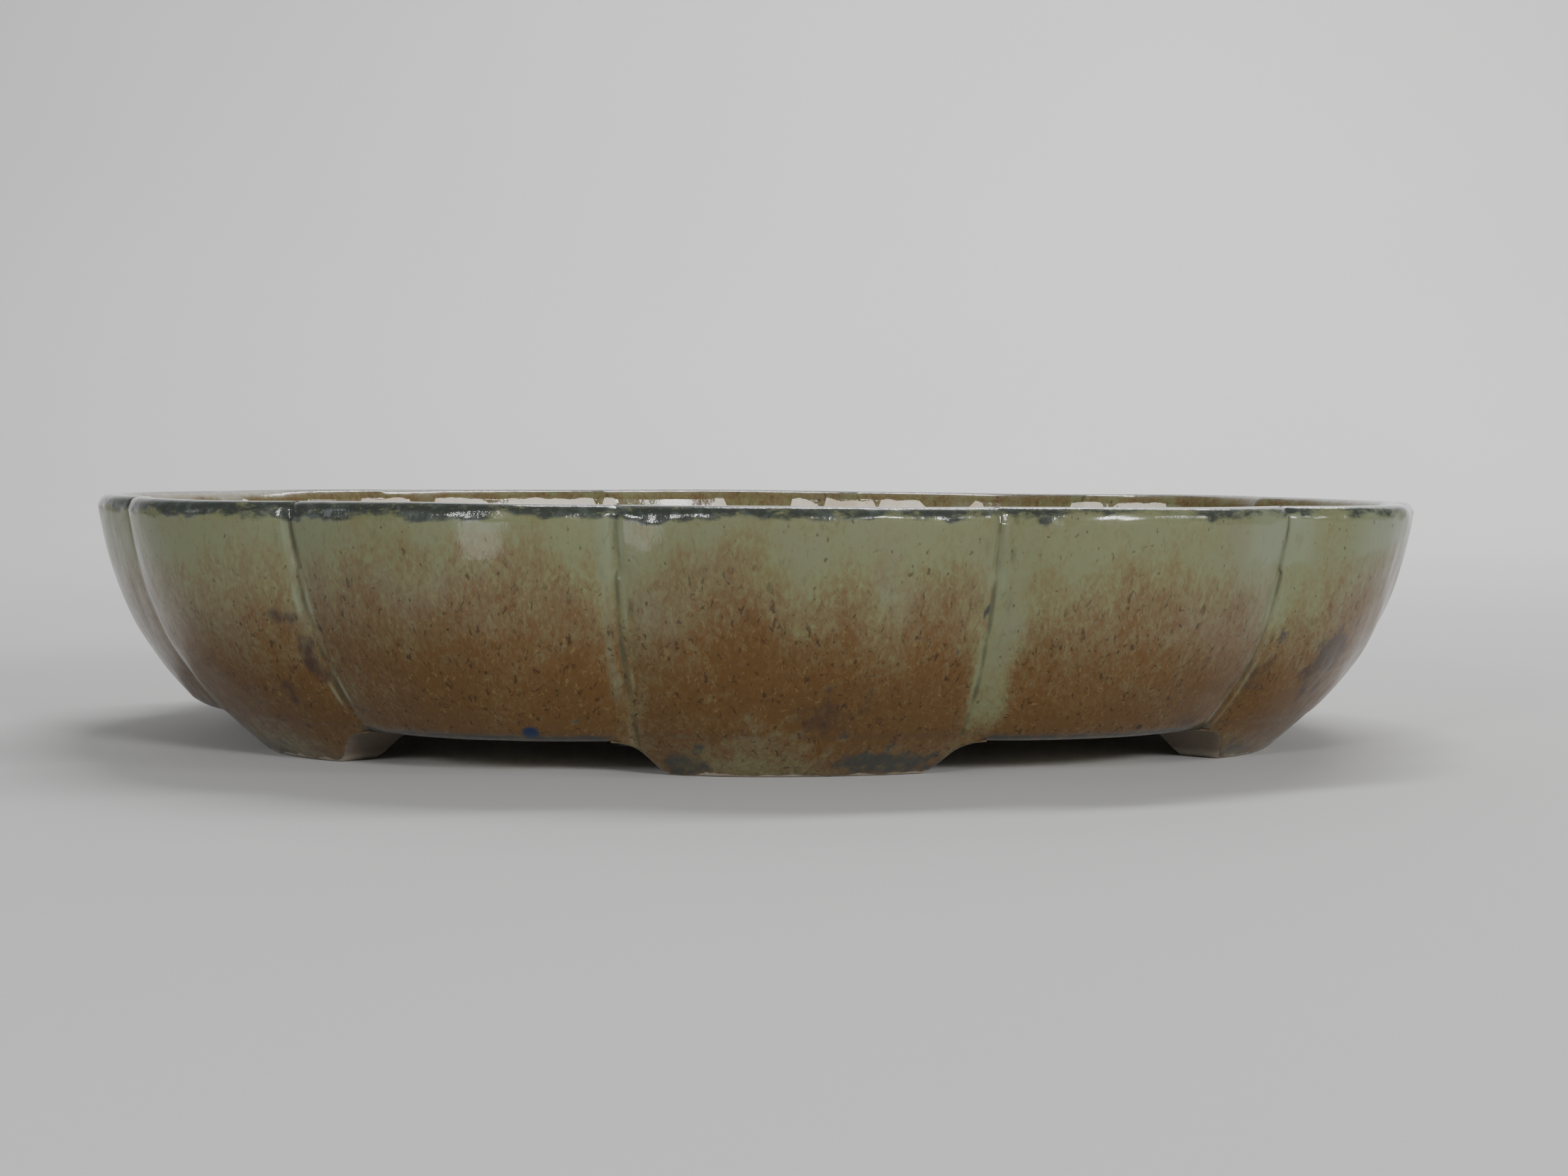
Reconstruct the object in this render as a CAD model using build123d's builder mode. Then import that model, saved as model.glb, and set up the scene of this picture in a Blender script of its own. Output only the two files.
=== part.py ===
"""A lobed oval bonsai pot on six feet, with drainage screens and the wire clips that hold them.

Units are millimetres. The origin is at the middle of the surface that the feet stand on, +X runs
along the pot's long axis, -Y is its front and +Z is up.
"""

from build123d import *
import math
import os

os.makedirs("parts", exist_ok=True)

# Plan of the pot at its rim: an oval that touches every lobe, with grooves sunk into it
LENGTH = 380
WIDTH = 298
OVAL_POWER = 2.31
GROOVE_ANGLES = (21.6, 50.7, 78.5)
GROOVE_DEPTH = 6.7

# Side of the pot, from the rim down to the feet's base
HEIGHT = 67.5
BASE_SHRINK = 0.20
STRAIGHT_SHARE = 0.24
CURVE_POWER = 2.62

# Clay slabs
WALL_AT_RIM = 8.0
WALL_AT_FLOOR = 11.0
RIM_ROUND = 2.5
FLOOR_THICKNESS = 8.0
FLOOR_SEAM = 10.0

# Feet: their ends are curves that leave the base at a slope and meet the wall level
FOOT_HEIGHT = 9.0
FOOT_THICKNESS = 11.0
FOOT_END_RUN = 15.0
FOOT_END_SLOPE = (0.35, 0.25)
FOOT_END_LEVEL = 0.45
FOOT_LIP = 0.8
LONG_SIDE_OVERHANG = 7.0

# Holes in the floor
DRAIN_RADIUS = 14.0
DRAIN_OFFSET = 68.0
DRAIN_EDGE_ROUND = 1.2
WIRE_HOLE_RADIUS = 3.0
WIRE_HOLE_SPACING_X = 76.0
WIRE_HOLE_SPACING_Y = 88.0

# Screens over the drainage holes
MESH_PITCH = 4.5
MESH_COUNT = 11
MESH_STRAND = 1.2
MESH_THICKNESS = 1.6

# Clips
WIRE_DIAMETER = 1.6
CLIP_LEG = 9.0
CLIP_LOOP_WIDTH = 13.0
CLIP_LOOP_START = 15.0
CLIP_LOOP_END = 23.0
CLIP_TAIL = 21.0
CLIP_LEG_BEND = 1.8
CLIP_NECK_BEND = 2.5
CLIP_LOOP_BEND = 5.5

HALF_LENGTH = LENGTH / 2
HALF_WIDTH = WIDTH / 2
FLOOR_TOP = FOOT_HEIGHT + FLOOR_THICKNESS
FOOT_LOBES = {
    "foot_front": -90,
    "foot_front_right": -38,
    "foot_back_right": 38,
    "foot_back": 90,
    "foot_back_left": 142,
    "foot_front_left": 218,
}


def oval_point(angle):
    """The point of the rim's oval at a plan angle in degrees."""
    c, s = math.cos(math.radians(angle)), math.sin(math.radians(angle))
    x = HALF_LENGTH * math.copysign(abs(c) ** (2 / OVAL_POWER), c)
    y = HALF_WIDTH * math.copysign(abs(s) ** (2 / OVAL_POWER), s)
    return Vector(x, y)


def groove_point(angle):
    """The bottom of the groove at a plan angle, sunk square to the oval."""
    p = oval_point(angle)
    slope_x = math.copysign(abs(p.X / HALF_LENGTH) ** (OVAL_POWER - 1), p.X) / HALF_LENGTH
    slope_y = math.copysign(abs(p.Y / HALF_WIDTH) ** (OVAL_POWER - 1), p.Y) / HALF_WIDTH
    return p - Vector(slope_x, slope_y).normalized() * GROOVE_DEPTH


def all_groove_angles():
    """The twelve groove angles, round the whole plan from the first quadrant on."""
    first = list(GROOVE_ANGLES)
    second = [180 - a for a in reversed(first)]
    return first + second + [a + 180 for a in first + second]


def plan_scale(z):
    """How large the plan is at a height, as a share of its size at the rim."""
    drop = max(HEIGHT - z, 0) / HEIGHT
    return 1 - BASE_SHRINK * (STRAIGHT_SHARE * drop + (1 - STRAIGHT_SHARE) * drop**CURVE_POWER)


def lobed_outline(z, inset=0.0):
    """Draws the pot's outline at a height, moved inwards by an inset, in the sketch that is open."""
    scale_x = plan_scale(z) - inset / HALF_LENGTH
    scale_y = plan_scale(z) - inset / HALF_WIDTH
    angles = all_groove_angles()
    following = angles[1:] + [angles[0] + 360]
    with BuildLine() as outline:
        for a, b in zip(angles, following):
            corners = [groove_point(a), oval_point((a + b) / 2), groove_point(b)]
            ThreePointArc(*[(p.X * scale_x, p.Y * scale_y) for p in corners])
    make_face(outline.edges())


def wall_inset(z):
    """The wall's thickness in plan at a height: it grows towards the floor."""
    rise = (z - FLOOR_TOP) / (HEIGHT - FLOOR_TOP)
    return WALL_AT_FLOOR + (WALL_AT_RIM - WALL_AT_FLOOR) * min(rise, 1)


def levels(low, high, count):
    """Evenly spaced heights from low to high."""
    return [low + (high - low) * i / (count - 1) for i in range(count)]


def finish(part, name):
    """Labels a finished piece and writes it."""
    part.label = name
    export_step(part, f"parts/{name}.step")


# The wall, open at the bottom where the floor fits
WALL_SECTIONS = 7
CUT_ABOVE = 3.0
with BuildPart() as pot_wall:
    for z in levels(FOOT_HEIGHT, HEIGHT, WALL_SECTIONS):
        with BuildSketch(Plane.XY.offset(z)):
            lobed_outline(z)
    loft()
    for z in levels(FLOOR_TOP, HEIGHT + CUT_ABOVE, WALL_SECTIONS):
        with BuildSketch(Plane.XY.offset(z)):
            lobed_outline(z, wall_inset(z))
    loft(mode=Mode.SUBTRACT)
    with BuildSketch(Plane.XY.offset(FOOT_HEIGHT)):
        lobed_outline(FOOT_HEIGHT, FLOOR_SEAM)
    extrude(amount=FLOOR_THICKNESS, mode=Mode.SUBTRACT)
    rim = pot_wall.faces().sort_by(Axis.Z)[-1]
    fillet(rim.edges(), radius=RIM_ROUND)
finish(pot_wall.part, "pot_wall")

# The floor, with its drainage holes and the holes for the tying wires
with BuildPart() as floor_slab:
    with BuildSketch(Plane.XY.offset(FOOT_HEIGHT)):
        lobed_outline(FOOT_HEIGHT, FLOOR_SEAM)
    extrude(amount=FLOOR_THICKNESS)
    with BuildSketch(Plane.XY.offset(FOOT_HEIGHT)):
        with GridLocations(2 * DRAIN_OFFSET, 0, 2, 1):
            Circle(DRAIN_RADIUS)
        with GridLocations(WIRE_HOLE_SPACING_X, WIRE_HOLE_SPACING_Y, 2, 2):
            Circle(WIRE_HOLE_RADIUS)
    extrude(amount=FLOOR_THICKNESS, mode=Mode.SUBTRACT)
    hole_edges = floor_slab.edges().filter_by(GeomType.CIRCLE)
    drain_edges = hole_edges.group_by(SortBy.RADIUS)[-1]
    fillet(drain_edges, radius=DRAIN_EDGE_ROUND)
finish(floor_slab.part, "floor_slab")


def foot_plane(lobe_angle):
    """A plane at the base of a lobe: X along its chord, Y up and Z outwards. Returns the chord too."""
    angles = all_groove_angles()
    near = sorted(angles, key=lambda a: abs((a - lobe_angle + 180) % 360 - 180))[:2]
    start, end = [groove_point(a) * plan_scale(FOOT_HEIGHT) for a in near]
    chord = (end - start).length
    along = (end - start).normalized()
    outward = along.cross(Vector(0, 0, 1))
    if outward.dot(start + end) < 0:
        along, outward = along * -1, outward * -1
    return Plane(origin=(start + end) / 2, x_dir=along, z_dir=outward), chord


def foot_profile(half_top, half_base):
    """The front view of a foot: a flat base and two ends that sweep up into the wall's lower edge."""
    shoulder = FOOT_HEIGHT - FOOT_LIP
    run = half_top - half_base
    slope_run, slope_rise = FOOT_END_SLOPE
    with BuildLine() as profile:
        Line((-half_base, 0), (half_base, 0))
        for side in (-1, 1):
            Bezier(
                (side * half_base, 0),
                (side * (half_base + run * slope_run), shoulder * slope_rise),
                (side * (half_base + run * FOOT_END_LEVEL), shoulder),
                (side * half_top, shoulder),
            )
            Line((side * half_top, shoulder), (side * half_top, FOOT_HEIGHT))
        Line((-half_top, FOOT_HEIGHT), (half_top, FOOT_HEIGHT))
    make_face(profile.edges())


# The feet: bands of clay that carry the lobes' surface down to the base
FOOT_REACH = 40.0
LONG_SIDE_LOBES = (-90, 90)
for name, lobe_angle in FOOT_LOBES.items():
    plane, chord = foot_plane(lobe_angle)
    on_long_side = lobe_angle in LONG_SIDE_LOBES
    half_top = chord / 2 + (LONG_SIDE_OVERHANG if on_long_side else 0)
    with BuildPart() as foot:
        for z in (0, FOOT_HEIGHT):
            with BuildSketch(Plane.XY.offset(z)):
                lobed_outline(z)
        loft()
        with BuildSketch():
            lobed_outline(0, FOOT_THICKNESS)
        extrude(amount=FOOT_HEIGHT, mode=Mode.SUBTRACT)
        with BuildSketch(plane):
            foot_profile(half_top, half_top - FOOT_END_RUN)
        extrude(amount=FOOT_REACH, both=True, mode=Mode.INTERSECT)
    finish(foot.part, name)


# Screens and their clips, one pair for each drainage hole
WIRE_RADIUS = WIRE_DIAMETER / 2
MESH_SIDE = MESH_COUNT * MESH_PITCH + MESH_STRAND
for side, drain_x in (("left", -DRAIN_OFFSET), ("right", DRAIN_OFFSET)):
    with BuildPart() as screen:
        with BuildSketch(Plane((drain_x, 0, FLOOR_TOP))):
            Rectangle(MESH_SIDE, MESH_SIDE)
            with GridLocations(MESH_PITCH, MESH_PITCH, MESH_COUNT, MESH_COUNT):
                Rectangle(MESH_PITCH - MESH_STRAND, MESH_PITCH - MESH_STRAND, mode=Mode.SUBTRACT)
        extrude(amount=MESH_THICKNESS)
    finish(screen.part, f"drain_screen_{side}")

    top = FLOOR_TOP + MESH_THICKNESS + WIRE_RADIUS
    under = FOOT_HEIGHT - WIRE_RADIUS
    half_loop = CLIP_LOOP_WIDTH / 2
    half_clip = [
        (CLIP_LOOP_START, half_loop, top),
        (CLIP_LOOP_END, half_loop, top),
        (CLIP_LOOP_END, -half_loop, top),
        (CLIP_LOOP_START, -half_loop, top),
        (CLIP_LEG, 0, top),
        (CLIP_LEG, 0, under),
        (CLIP_TAIL, 0, under),
    ]
    other_half = [(-x, -y, z) for x, y, z in reversed(half_clip)]
    corners = [Vector(x + drain_x, y, z) for x, y, z in other_half + half_clip]
    loop_bends = [CLIP_NECK_BEND, CLIP_LOOP_BEND, CLIP_LOOP_BEND, CLIP_NECK_BEND]
    half_bends = loop_bends + [CLIP_LEG_BEND, CLIP_LEG_BEND]
    bends = list(reversed(half_bends)) + half_bends
    with BuildPart() as clip:
        with BuildLine() as route:
            FilletPolyline(*corners, radius=bends)
        with BuildSketch(Plane(origin=corners[0], z_dir=corners[1] - corners[0])):
            Circle(WIRE_RADIUS)
        sweep(path=route.line)
    finish(clip.part, f"screen_clip_{side}")
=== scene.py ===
"""A lobed oval bonsai pot under a running celadon and rust glaze, on a pale studio floor.

Lengths are metres and plan angles are radians, unless a name or a comment gives another unit.
-Y is the pot's front, +X its right, and it stands on Z = 0.
"""

import math

import bmesh
import bpy
import numpy as np
from bpy.props import FloatProperty, FloatVectorProperty, IntProperty, PointerProperty
from mathutils import Matrix, Vector


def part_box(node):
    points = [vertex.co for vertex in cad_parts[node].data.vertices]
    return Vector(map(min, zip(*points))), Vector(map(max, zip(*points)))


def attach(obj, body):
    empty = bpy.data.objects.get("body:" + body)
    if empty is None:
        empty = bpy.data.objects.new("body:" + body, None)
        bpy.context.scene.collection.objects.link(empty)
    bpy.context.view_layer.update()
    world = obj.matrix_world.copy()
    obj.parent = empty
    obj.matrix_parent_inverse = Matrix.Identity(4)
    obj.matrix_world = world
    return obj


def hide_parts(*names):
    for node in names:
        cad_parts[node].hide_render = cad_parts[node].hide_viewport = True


bl_info = {
    "name": "Lobed Bonsai Pot",
    "version": (1, 0, 0),
    "blender": (4, 5, 0),
    "location": "View3D > Sidebar > Bonsai Pot",
    "description": "A lobed glazed pot with its feet, floor, drain screens and wire clips",
    "category": "Add Mesh",
}

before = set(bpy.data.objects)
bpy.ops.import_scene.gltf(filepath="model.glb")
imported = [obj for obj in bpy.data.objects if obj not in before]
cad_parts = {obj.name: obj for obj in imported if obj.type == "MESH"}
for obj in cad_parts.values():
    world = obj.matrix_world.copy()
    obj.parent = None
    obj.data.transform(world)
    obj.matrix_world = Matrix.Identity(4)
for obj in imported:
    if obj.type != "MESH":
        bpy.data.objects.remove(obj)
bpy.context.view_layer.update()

MM = 0.001
WALL_LOW, WALL_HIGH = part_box("pot_wall")
RIM_TOP = WALL_HIGH.z
WALL_BASE = WALL_LOW.z
SLAB_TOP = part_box("floor_slab")[1].z

# The side's curve, as shares of the rim's plan
BASE_SHRINK = 0.20
STRAIGHT_SHARE = 0.24
CURVE_POWER = 2.62

# The rim's oval and the grooves sunk into it, by their plan angles in the first quarter
OVAL_POWER = 2.31
GROOVE_DEGREES = (21.6, 50.7, 78.5)
GROOVE_DEPTH = 6.7 * MM
GROOVE_SOFTNESS = 0.45 * MM

# The clay's thickness, and how round the solid rim is
CAD_RIM_ROUND = 2.5 * MM
WALL_AT_RIM = 8 * MM
WALL_AT_SLAB = 11 * MM
SLAB_SEAM = 10 * MM

# The feet, named by the plan angle of the lobe that each one carries down
FOOT_DEGREES = {
    "foot_front": -90,
    "foot_front_right": -38,
    "foot_back_right": 38,
    "foot_back": 90,
    "foot_back_left": 142,
    "foot_front_left": 218,
}
LONG_SIDE_FEET = ("foot_front", "foot_back")
FOOT_THICKNESS = 11 * MM
FOOT_END_RUN = 15 * MM
FOOT_END_SLOPE = (0.35, 0.25)
FOOT_END_LEVEL = 0.45
LONG_SIDE_OVERHANG = 7 * MM

# How strongly the wall's columns crowd together at the grooves, and how close points are joined
CROWDING = 0.75
MERGE_DISTANCE = 0.002 * MM

# How round the wall's edges are, how far down its rim waves and sinks, how far up from the slab
# it is held to its rule, and how wide the line cut in each groove is
EDGE_ROUND = 2.0 * MM
RIM_OUTER = 2.9 * MM
RIM_INNER = 3.1 * MM
RIM_SWAY = 14 * MM
RIM_SINK = 0.12 * MM
FILLET = 6.0 * MM
SLAB_HOLD = 12 * MM
FURROW_WIDTH = 1.3 * MM

# The glaze's thickness inside, and values of its edge field that are safely covered or bare
INNER_COAT = 0.28 * MM
WELL_GLAZED_MM = 9.0
UNDER_GLAZE_MM = -4.0

# How the feet are finished: the gap at their swept ends, the tongue inside the wall, their edges,
# the dents under them, and how far in and out from a foot's chord its faces can be
SHOULDER = 0.25 * MM
TONGUE = 1.2 * MM
TONGUE_INSET = 0.4 * MM
FOOT_EDGE = 0.8 * MM
FOOT_DENTS = 0.35 * MM
FOOT_REACH = (-45 * MM, 60 * MM)

# The drain screens' mesh, with how far each knot spreads and how flat it is
MESH_PITCH = 4.5 * MM
MESH_COUNT = 11
KNOT_SPREAD = 1.45
KNOT_FLATNESS = 0.66

# The clips' wire
CLIP_DIAMETER = 1.6 * MM
CLIP_LEG = 9 * MM
CLIP_LOOP_WIDTH = 13 * MM
CLIP_LOOP_START = 15 * MM
CLIP_LOOP_END = 23 * MM
CLIP_TAIL = 21 * MM
CLIP_LEG_BEND = 1.8 * MM
CLIP_NECK_BEND = 2.5 * MM
CLIP_LOOP_BEND = 5.5 * MM

# Surfaces
CLAY_ROUGHNESS = 0.88
GRAIN_SHADE = 0.62
IRON_SPECK = (0.10, 0.055, 0.03)
GLAZE_COAT_ROUGHNESS = 0.06
GLAZE_SPECULAR = 0.20

# Marks on the glaze: plan angle in degrees, then height, half width and half height in
# millimetres, then strength
DARK_MARKS = (
    (-34.0, 28, 7.0, 10.0, 0.85),
    (-41.0, 24, 3.0, 5.0, 0.60),
    (-88.0, 16, 9.0, 5.5, 0.50),
    (-138.6, 28, 2.6, 6.0, 0.75),
    (-142.0, 18, 2.2, 4.0, 0.65),
    (-139.8, 39, 3.2, 1.8, 0.70),
    (-47.0, 12, 7.0, 2.5, 0.60),
    (28.0, 24, 6.0, 8.0, 0.60),
    (64.0, 15, 8.0, 5.0, 0.50),
    (118.0, 22, 4.0, 9.0, 0.55),
    (151.0, 30, 5.0, 7.0, 0.60),
    (184.0, 26, 5.0, 12.0, 0.75),
)
OLIVE_MARKS = (
    (-93.5, 6, 13.0, 11.0, 1.00),
    (-136.0, 22, 4.0, 7.0, 0.55),
    (-150.0, 5, 14.0, 5.0, 0.60),
    (84.0, 7, 14.0, 9.0, 0.80),
    (38.0, 6, 9.0, 7.0, 0.60),
    (205.0, 5, 12.0, 7.0, 0.60),
)
SLATE_MARKS = (
    (-103.5, 3.0, 7.0, 3.2, 0.75),
    (-80.5, 3.2, 13.0, 3.6, 0.85),
    (-36.0, 2.5, 9.0, 2.5, 0.60),
    (-152.0, 2.5, 8.0, 2.5, 0.50),
    (100.0, 3.0, 9.0, 3.0, 0.70),
    (33.0, 2.5, 8.0, 2.5, 0.60),
)
# Height of the rust's upper limit, lobe by lobe, from the lobe at +X round by the back, how far
# it fades above that, and the height in which it grows to its full strength
RUST_TOPS_MM = (44, 41, 45, 42, 46, 40, 44, 44, 46, 43.5, 42, 43.5)
RUST_FADE_MM = 14
RUST_RUN_MM = 36
# Single features of the front by plan angle in degrees: a peak of rust, a pale line, a band that
# stays green and two pale patches of painted reflection under the rim, as start, full from, full to and
# end
RUST_PEAK_AT = -95.5
RUST_PEAK_WIDTH = 3.6
RUST_PEAK_MM = 8.5
PALE_LINE_AT = -109.5
GREEN_BAND = (-72.4, -71.7, -69.6, -68.0)
RIGHT_PAINTED_SHEENS = ((-38.5, -34.0, 2.0, 10.0), (-50.0, -47.5, -41.0, -39.0))
# How far below the rim the glaze stops inside, where it drips and where it stops short
DRIP_DEPTH_MM = 10.5
BARE_DEPTH_MM = 3.0
# Plan angles in degrees between which the glaze inside the far wall stops just under the rim
BARE_STRETCHES = (
    (32.9, 39.3), (39.8, 44.3), (55.5, 57.8), (62.9, 69.0), (69.2, 76.8), (77.5, 81.8),
    (90.7, 92.7), (106.9, 109.2), (109.8, 121.4), (123.0, 131.0), (133.6, 140.8),
    (145.2, 146.8), (154.0, 156.0), (186.0, 196.0), (214.0, 226.0), (244.0, 262.0),
    (281.0, 290.0), (301.0, 316.0), (338.0, 349.0),
)


# ---------------------------------------------------------------- numbers shared by the pieces


def plan_scale(z):
    """How large the plan is at a height, as a share of its size at the rim."""
    drop = np.clip((RIM_TOP - np.asarray(z, float)) / RIM_TOP, 0, None)
    return 1 - BASE_SHRINK * (STRAIGHT_SHARE * drop + (1 - STRAIGHT_SHARE) * drop**CURVE_POWER)


HALF_PLAN = np.array(
    [
        (WALL_HIGH.x - WALL_LOW.x) / 2 / plan_scale(RIM_TOP - CAD_RIM_ROUND),
        (WALL_HIGH.y - WALL_LOW.y) / 2 / plan_scale(RIM_TOP - CAD_RIM_ROUND),
    ]
)


def ring_scale(z, inset):
    """The plan's scale along X and along Y at a height, moved inwards by an inset."""
    return plan_scale(z)[..., None] - np.asarray(inset, float)[..., None] / HALF_PLAN


def oval_point(degrees):
    """The point of the rim's oval at a plan angle."""
    c, s = math.cos(math.radians(degrees)), math.sin(math.radians(degrees))
    power = 2 / OVAL_POWER
    return HALF_PLAN * [math.copysign(abs(c) ** power, c), math.copysign(abs(s) ** power, s)]


def groove_point(degrees):
    """The bottom of the groove at a plan angle, sunk square to the oval."""
    p = oval_point(degrees)
    slope = np.sign(p) * np.abs(p / HALF_PLAN) ** (OVAL_POWER - 1) / HALF_PLAN
    return p - slope / np.linalg.norm(slope) * GROOVE_DEPTH


def all_groove_degrees():
    """The twelve grooves' plan angles, from the first quarter round the pot."""
    first = list(GROOVE_DEGREES)
    half = first + [180 - a for a in reversed(first)]
    return half + [a + 180 for a in half]


def circle_through(a, b, c):
    """Centre and radius of the circle through three points."""
    rows = 2 * np.array([b - a, c - a])
    centre = np.linalg.solve(rows, [b @ b - a @ a, c @ c - a @ a])
    return centre, np.linalg.norm(a - centre)


def lobe_table():
    """Each lobe's circle and the polar angle where it starts, from the lobe that crosses +X."""
    degrees = all_groove_degrees()
    starts = [degrees[-1] - 360] + degrees[:-1]
    centres, radii, edges = [], [], []
    for a, b in zip(starts, degrees):
        corners = [groove_point(a), oval_point((a + b) / 2), groove_point(b)]
        centre, radius = circle_through(*corners)
        centres.append(centre)
        radii.append(radius)
        edges.append(math.atan2(corners[0][1], corners[0][0]))
    return np.array(centres), np.array(radii), np.unwrap(edges)


LOBE_CENTRES, LOBE_RADII, LOBE_STARTS = lobe_table()
LOBE_COUNT = len(LOBE_RADII)
LOBE_ENDS = np.append(LOBE_STARTS[1:], LOBE_STARTS[0] + 2 * math.pi)


def lobe_of(theta):
    """Which lobe a polar angle falls in."""
    turned = (np.asarray(theta) - LOBE_STARTS[0]) % (2 * math.pi) + LOBE_STARTS[0]
    return np.clip(np.searchsorted(LOBE_STARTS, turned, side="right") - 1, 0, LOBE_COUNT - 1)


def rim_radius(theta):
    """How far the rim's outline is from the pot's middle in a direction."""
    theta = np.asarray(theta, float)
    direction = np.stack([np.cos(theta), np.sin(theta)], -1)
    along = direction @ LOBE_CENTRES.T
    offset = (LOBE_CENTRES**2).sum(1) - LOBE_RADII**2
    reach = along + np.sqrt(np.clip(along**2 - offset, 0, None))
    own = lobe_of(theta)
    here, after, before = [
        np.take_along_axis(reach, ((own + step) % LOBE_COUNT)[..., None], -1)[..., 0]
        for step in (0, 1, -1)
    ]
    beside = np.maximum(after, before)
    return (here + beside + np.sqrt((here - beside) ** 2 + GROOVE_SOFTNESS**2)) / 2


def column_angles(per_lobe):
    """Polar angles of the wall's columns, crowded together at the grooves."""
    share = np.arange(per_lobe) / per_lobe
    eased = share - CROWDING * np.sin(2 * math.pi * share) / (2 * math.pi)
    return np.concatenate([a + (b - a) * eased for a, b in zip(LOBE_STARTS, LOBE_ENDS)])


def smooth(low, high, value):
    """0 below low, 1 above high, and an even S between."""
    t = np.clip((value - low) / (high - low), 0, 1)
    return t * t * (3 - 2 * t)


def stretch(value, limits):
    """1 between the two middle limits, fading to 0 at the first and the last."""
    start, full_from, full_to, end = limits
    return smooth(start, full_from, value) * smooth(end, full_to, value)


def bell(value, width):
    """1 where a value is 0, dying away smoothly over a width on both sides."""
    return np.exp(-((value / width) ** 2))


def waves(points, size, seed, squeeze=(1, 1, 1), count=28):
    """Smooth uneven values of about -1 to 1 at points, the same on every run."""
    random = np.random.default_rng(seed)
    heading = random.normal(size=(count, 3))
    heading /= np.linalg.norm(heading, axis=1, keepdims=True)
    length = size * random.uniform(0.7, 1.5, (count, 1))
    phase = random.uniform(0, 2 * math.pi, count)
    turns = np.asarray(points) * squeeze @ (heading / length * 2 * math.pi).T
    return np.cos(turns + phase).sum(-1) * math.sqrt(2 / count) * 0.6


def polar(points):
    """Polar angle of each point, in radians."""
    return np.arctan2(points[:, 1], points[:, 0])


def groove_gap(theta):
    """Signed distance in plan to the nearest groove, positive counter-clockwise of it."""
    edges = (theta[:, None] - LOBE_STARTS + math.pi) % (2 * math.pi) - math.pi
    nearest = np.take_along_axis(edges, np.abs(edges).argmin(1)[:, None], 1)[:, 0]
    return nearest * rim_radius(theta)


def lobe_share(theta):
    """Where in its lobe an angle is: -1 at the lobe's start, 0 at its middle and 1 at its end."""
    lobe = lobe_of(theta)
    middle = (LOBE_STARTS[lobe] + LOBE_ENDS[lobe]) / 2
    half_span = (LOBE_ENDS[lobe] - LOBE_STARTS[lobe]) / 2
    turned = (theta - LOBE_STARTS[0]) % (2 * math.pi) + LOBE_STARTS[0]
    return (turned - middle) / half_span


def hand_wobble(points, amount):
    """How far a hand-pressed wall strays outwards at each point."""
    return amount * (waves(points, 58 * MM, 11) + 0.28 * waves(points, 16 * MM, 12))


def push_outwards(points, distance):
    """Moves points away from the pot's axis."""
    radius = np.hypot(points[:, 0], points[:, 1])
    moved = points.copy()
    moved[:, :2] *= (1 + distance / radius)[:, None]
    return moved


# ---------------------------------------------------------------- the glaze's own pattern


def glaze_limit_inside(points):
    """How far below the rim the glaze stops on the inside, in millimetres."""
    degrees = np.degrees(polar(points)) % 360
    drips = DRIP_DEPTH_MM + 3.0 * waves(points, 24 * MM, 21) + 1.6 * waves(points, 7 * MM, 22)
    bare = np.zeros(len(points))
    for start, end in BARE_STRETCHES:
        limits = (start - 0.5, start + 0.5, end - 0.5, end + 0.5)
        bare = np.maximum(bare, stretch(degrees, limits))
    top = BARE_DEPTH_MM + 0.45 * waves(points, 9 * MM, 23)
    return drips + (top - drips) * bare


def mark_strength(marks, points):
    """The strongest of a list of soft-edged marks at each point."""
    theta = polar(points)
    strength = np.zeros(len(points))
    ragged = 1 + 0.45 * waves(points, 5 * MM, 31, squeeze=(1, 1, 0.6))
    radius = np.hypot(points[:, 0], points[:, 1])
    for degrees, height, half_width, half_height, amount in marks:
        turn = (theta - math.radians(degrees) + math.pi) % (2 * math.pi) - math.pi
        across = turn * radius / (half_width * MM)
        along = (points[:, 2] / MM - height) / half_height
        strength = np.maximum(strength, amount * smooth(1.25, 0.55, np.hypot(across, along) * ragged))
    return strength


def rust_field(points, theta, gap, band):
    """How rusty the glaze is: more down each lobe, less at its grooves, its foot and the green band."""
    height = points[:, 2] / MM
    top = np.take(RUST_TOPS_MM, lobe_of(theta)) - 2.5 * lobe_share(theta) ** 2
    top = top + 2.4 * waves(points, 30 * MM, 41, squeeze=(1, 1, 0.3))
    top = top + 1.8 * waves(points, 9 * MM, 42, squeeze=(1, 1, 0.25))
    top = top + RUST_PEAK_MM * bell(np.degrees(theta) - RUST_PEAK_AT, RUST_PEAK_WIDTH)
    rust = np.clip((top + RUST_FADE_MM - height) / RUST_RUN_MM, 0, 1) ** 0.8
    rust = rust + 0.06 * waves(points, 6 * MM, 43, squeeze=(1, 1, 0.4))
    rust = rust + 0.13 * waves(points, 26 * MM, 44, squeeze=(1, 1, 0.5)) * smooth(66, 54, height)
    rust = rust - 0.32 * smooth(14, 2, height) - 0.26 * bell(gap, 4.0)
    rust = rust * (1 - 0.50 * mark_strength(OLIVE_MARKS, points))
    return rust * (1 - 0.85 * band)


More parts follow.
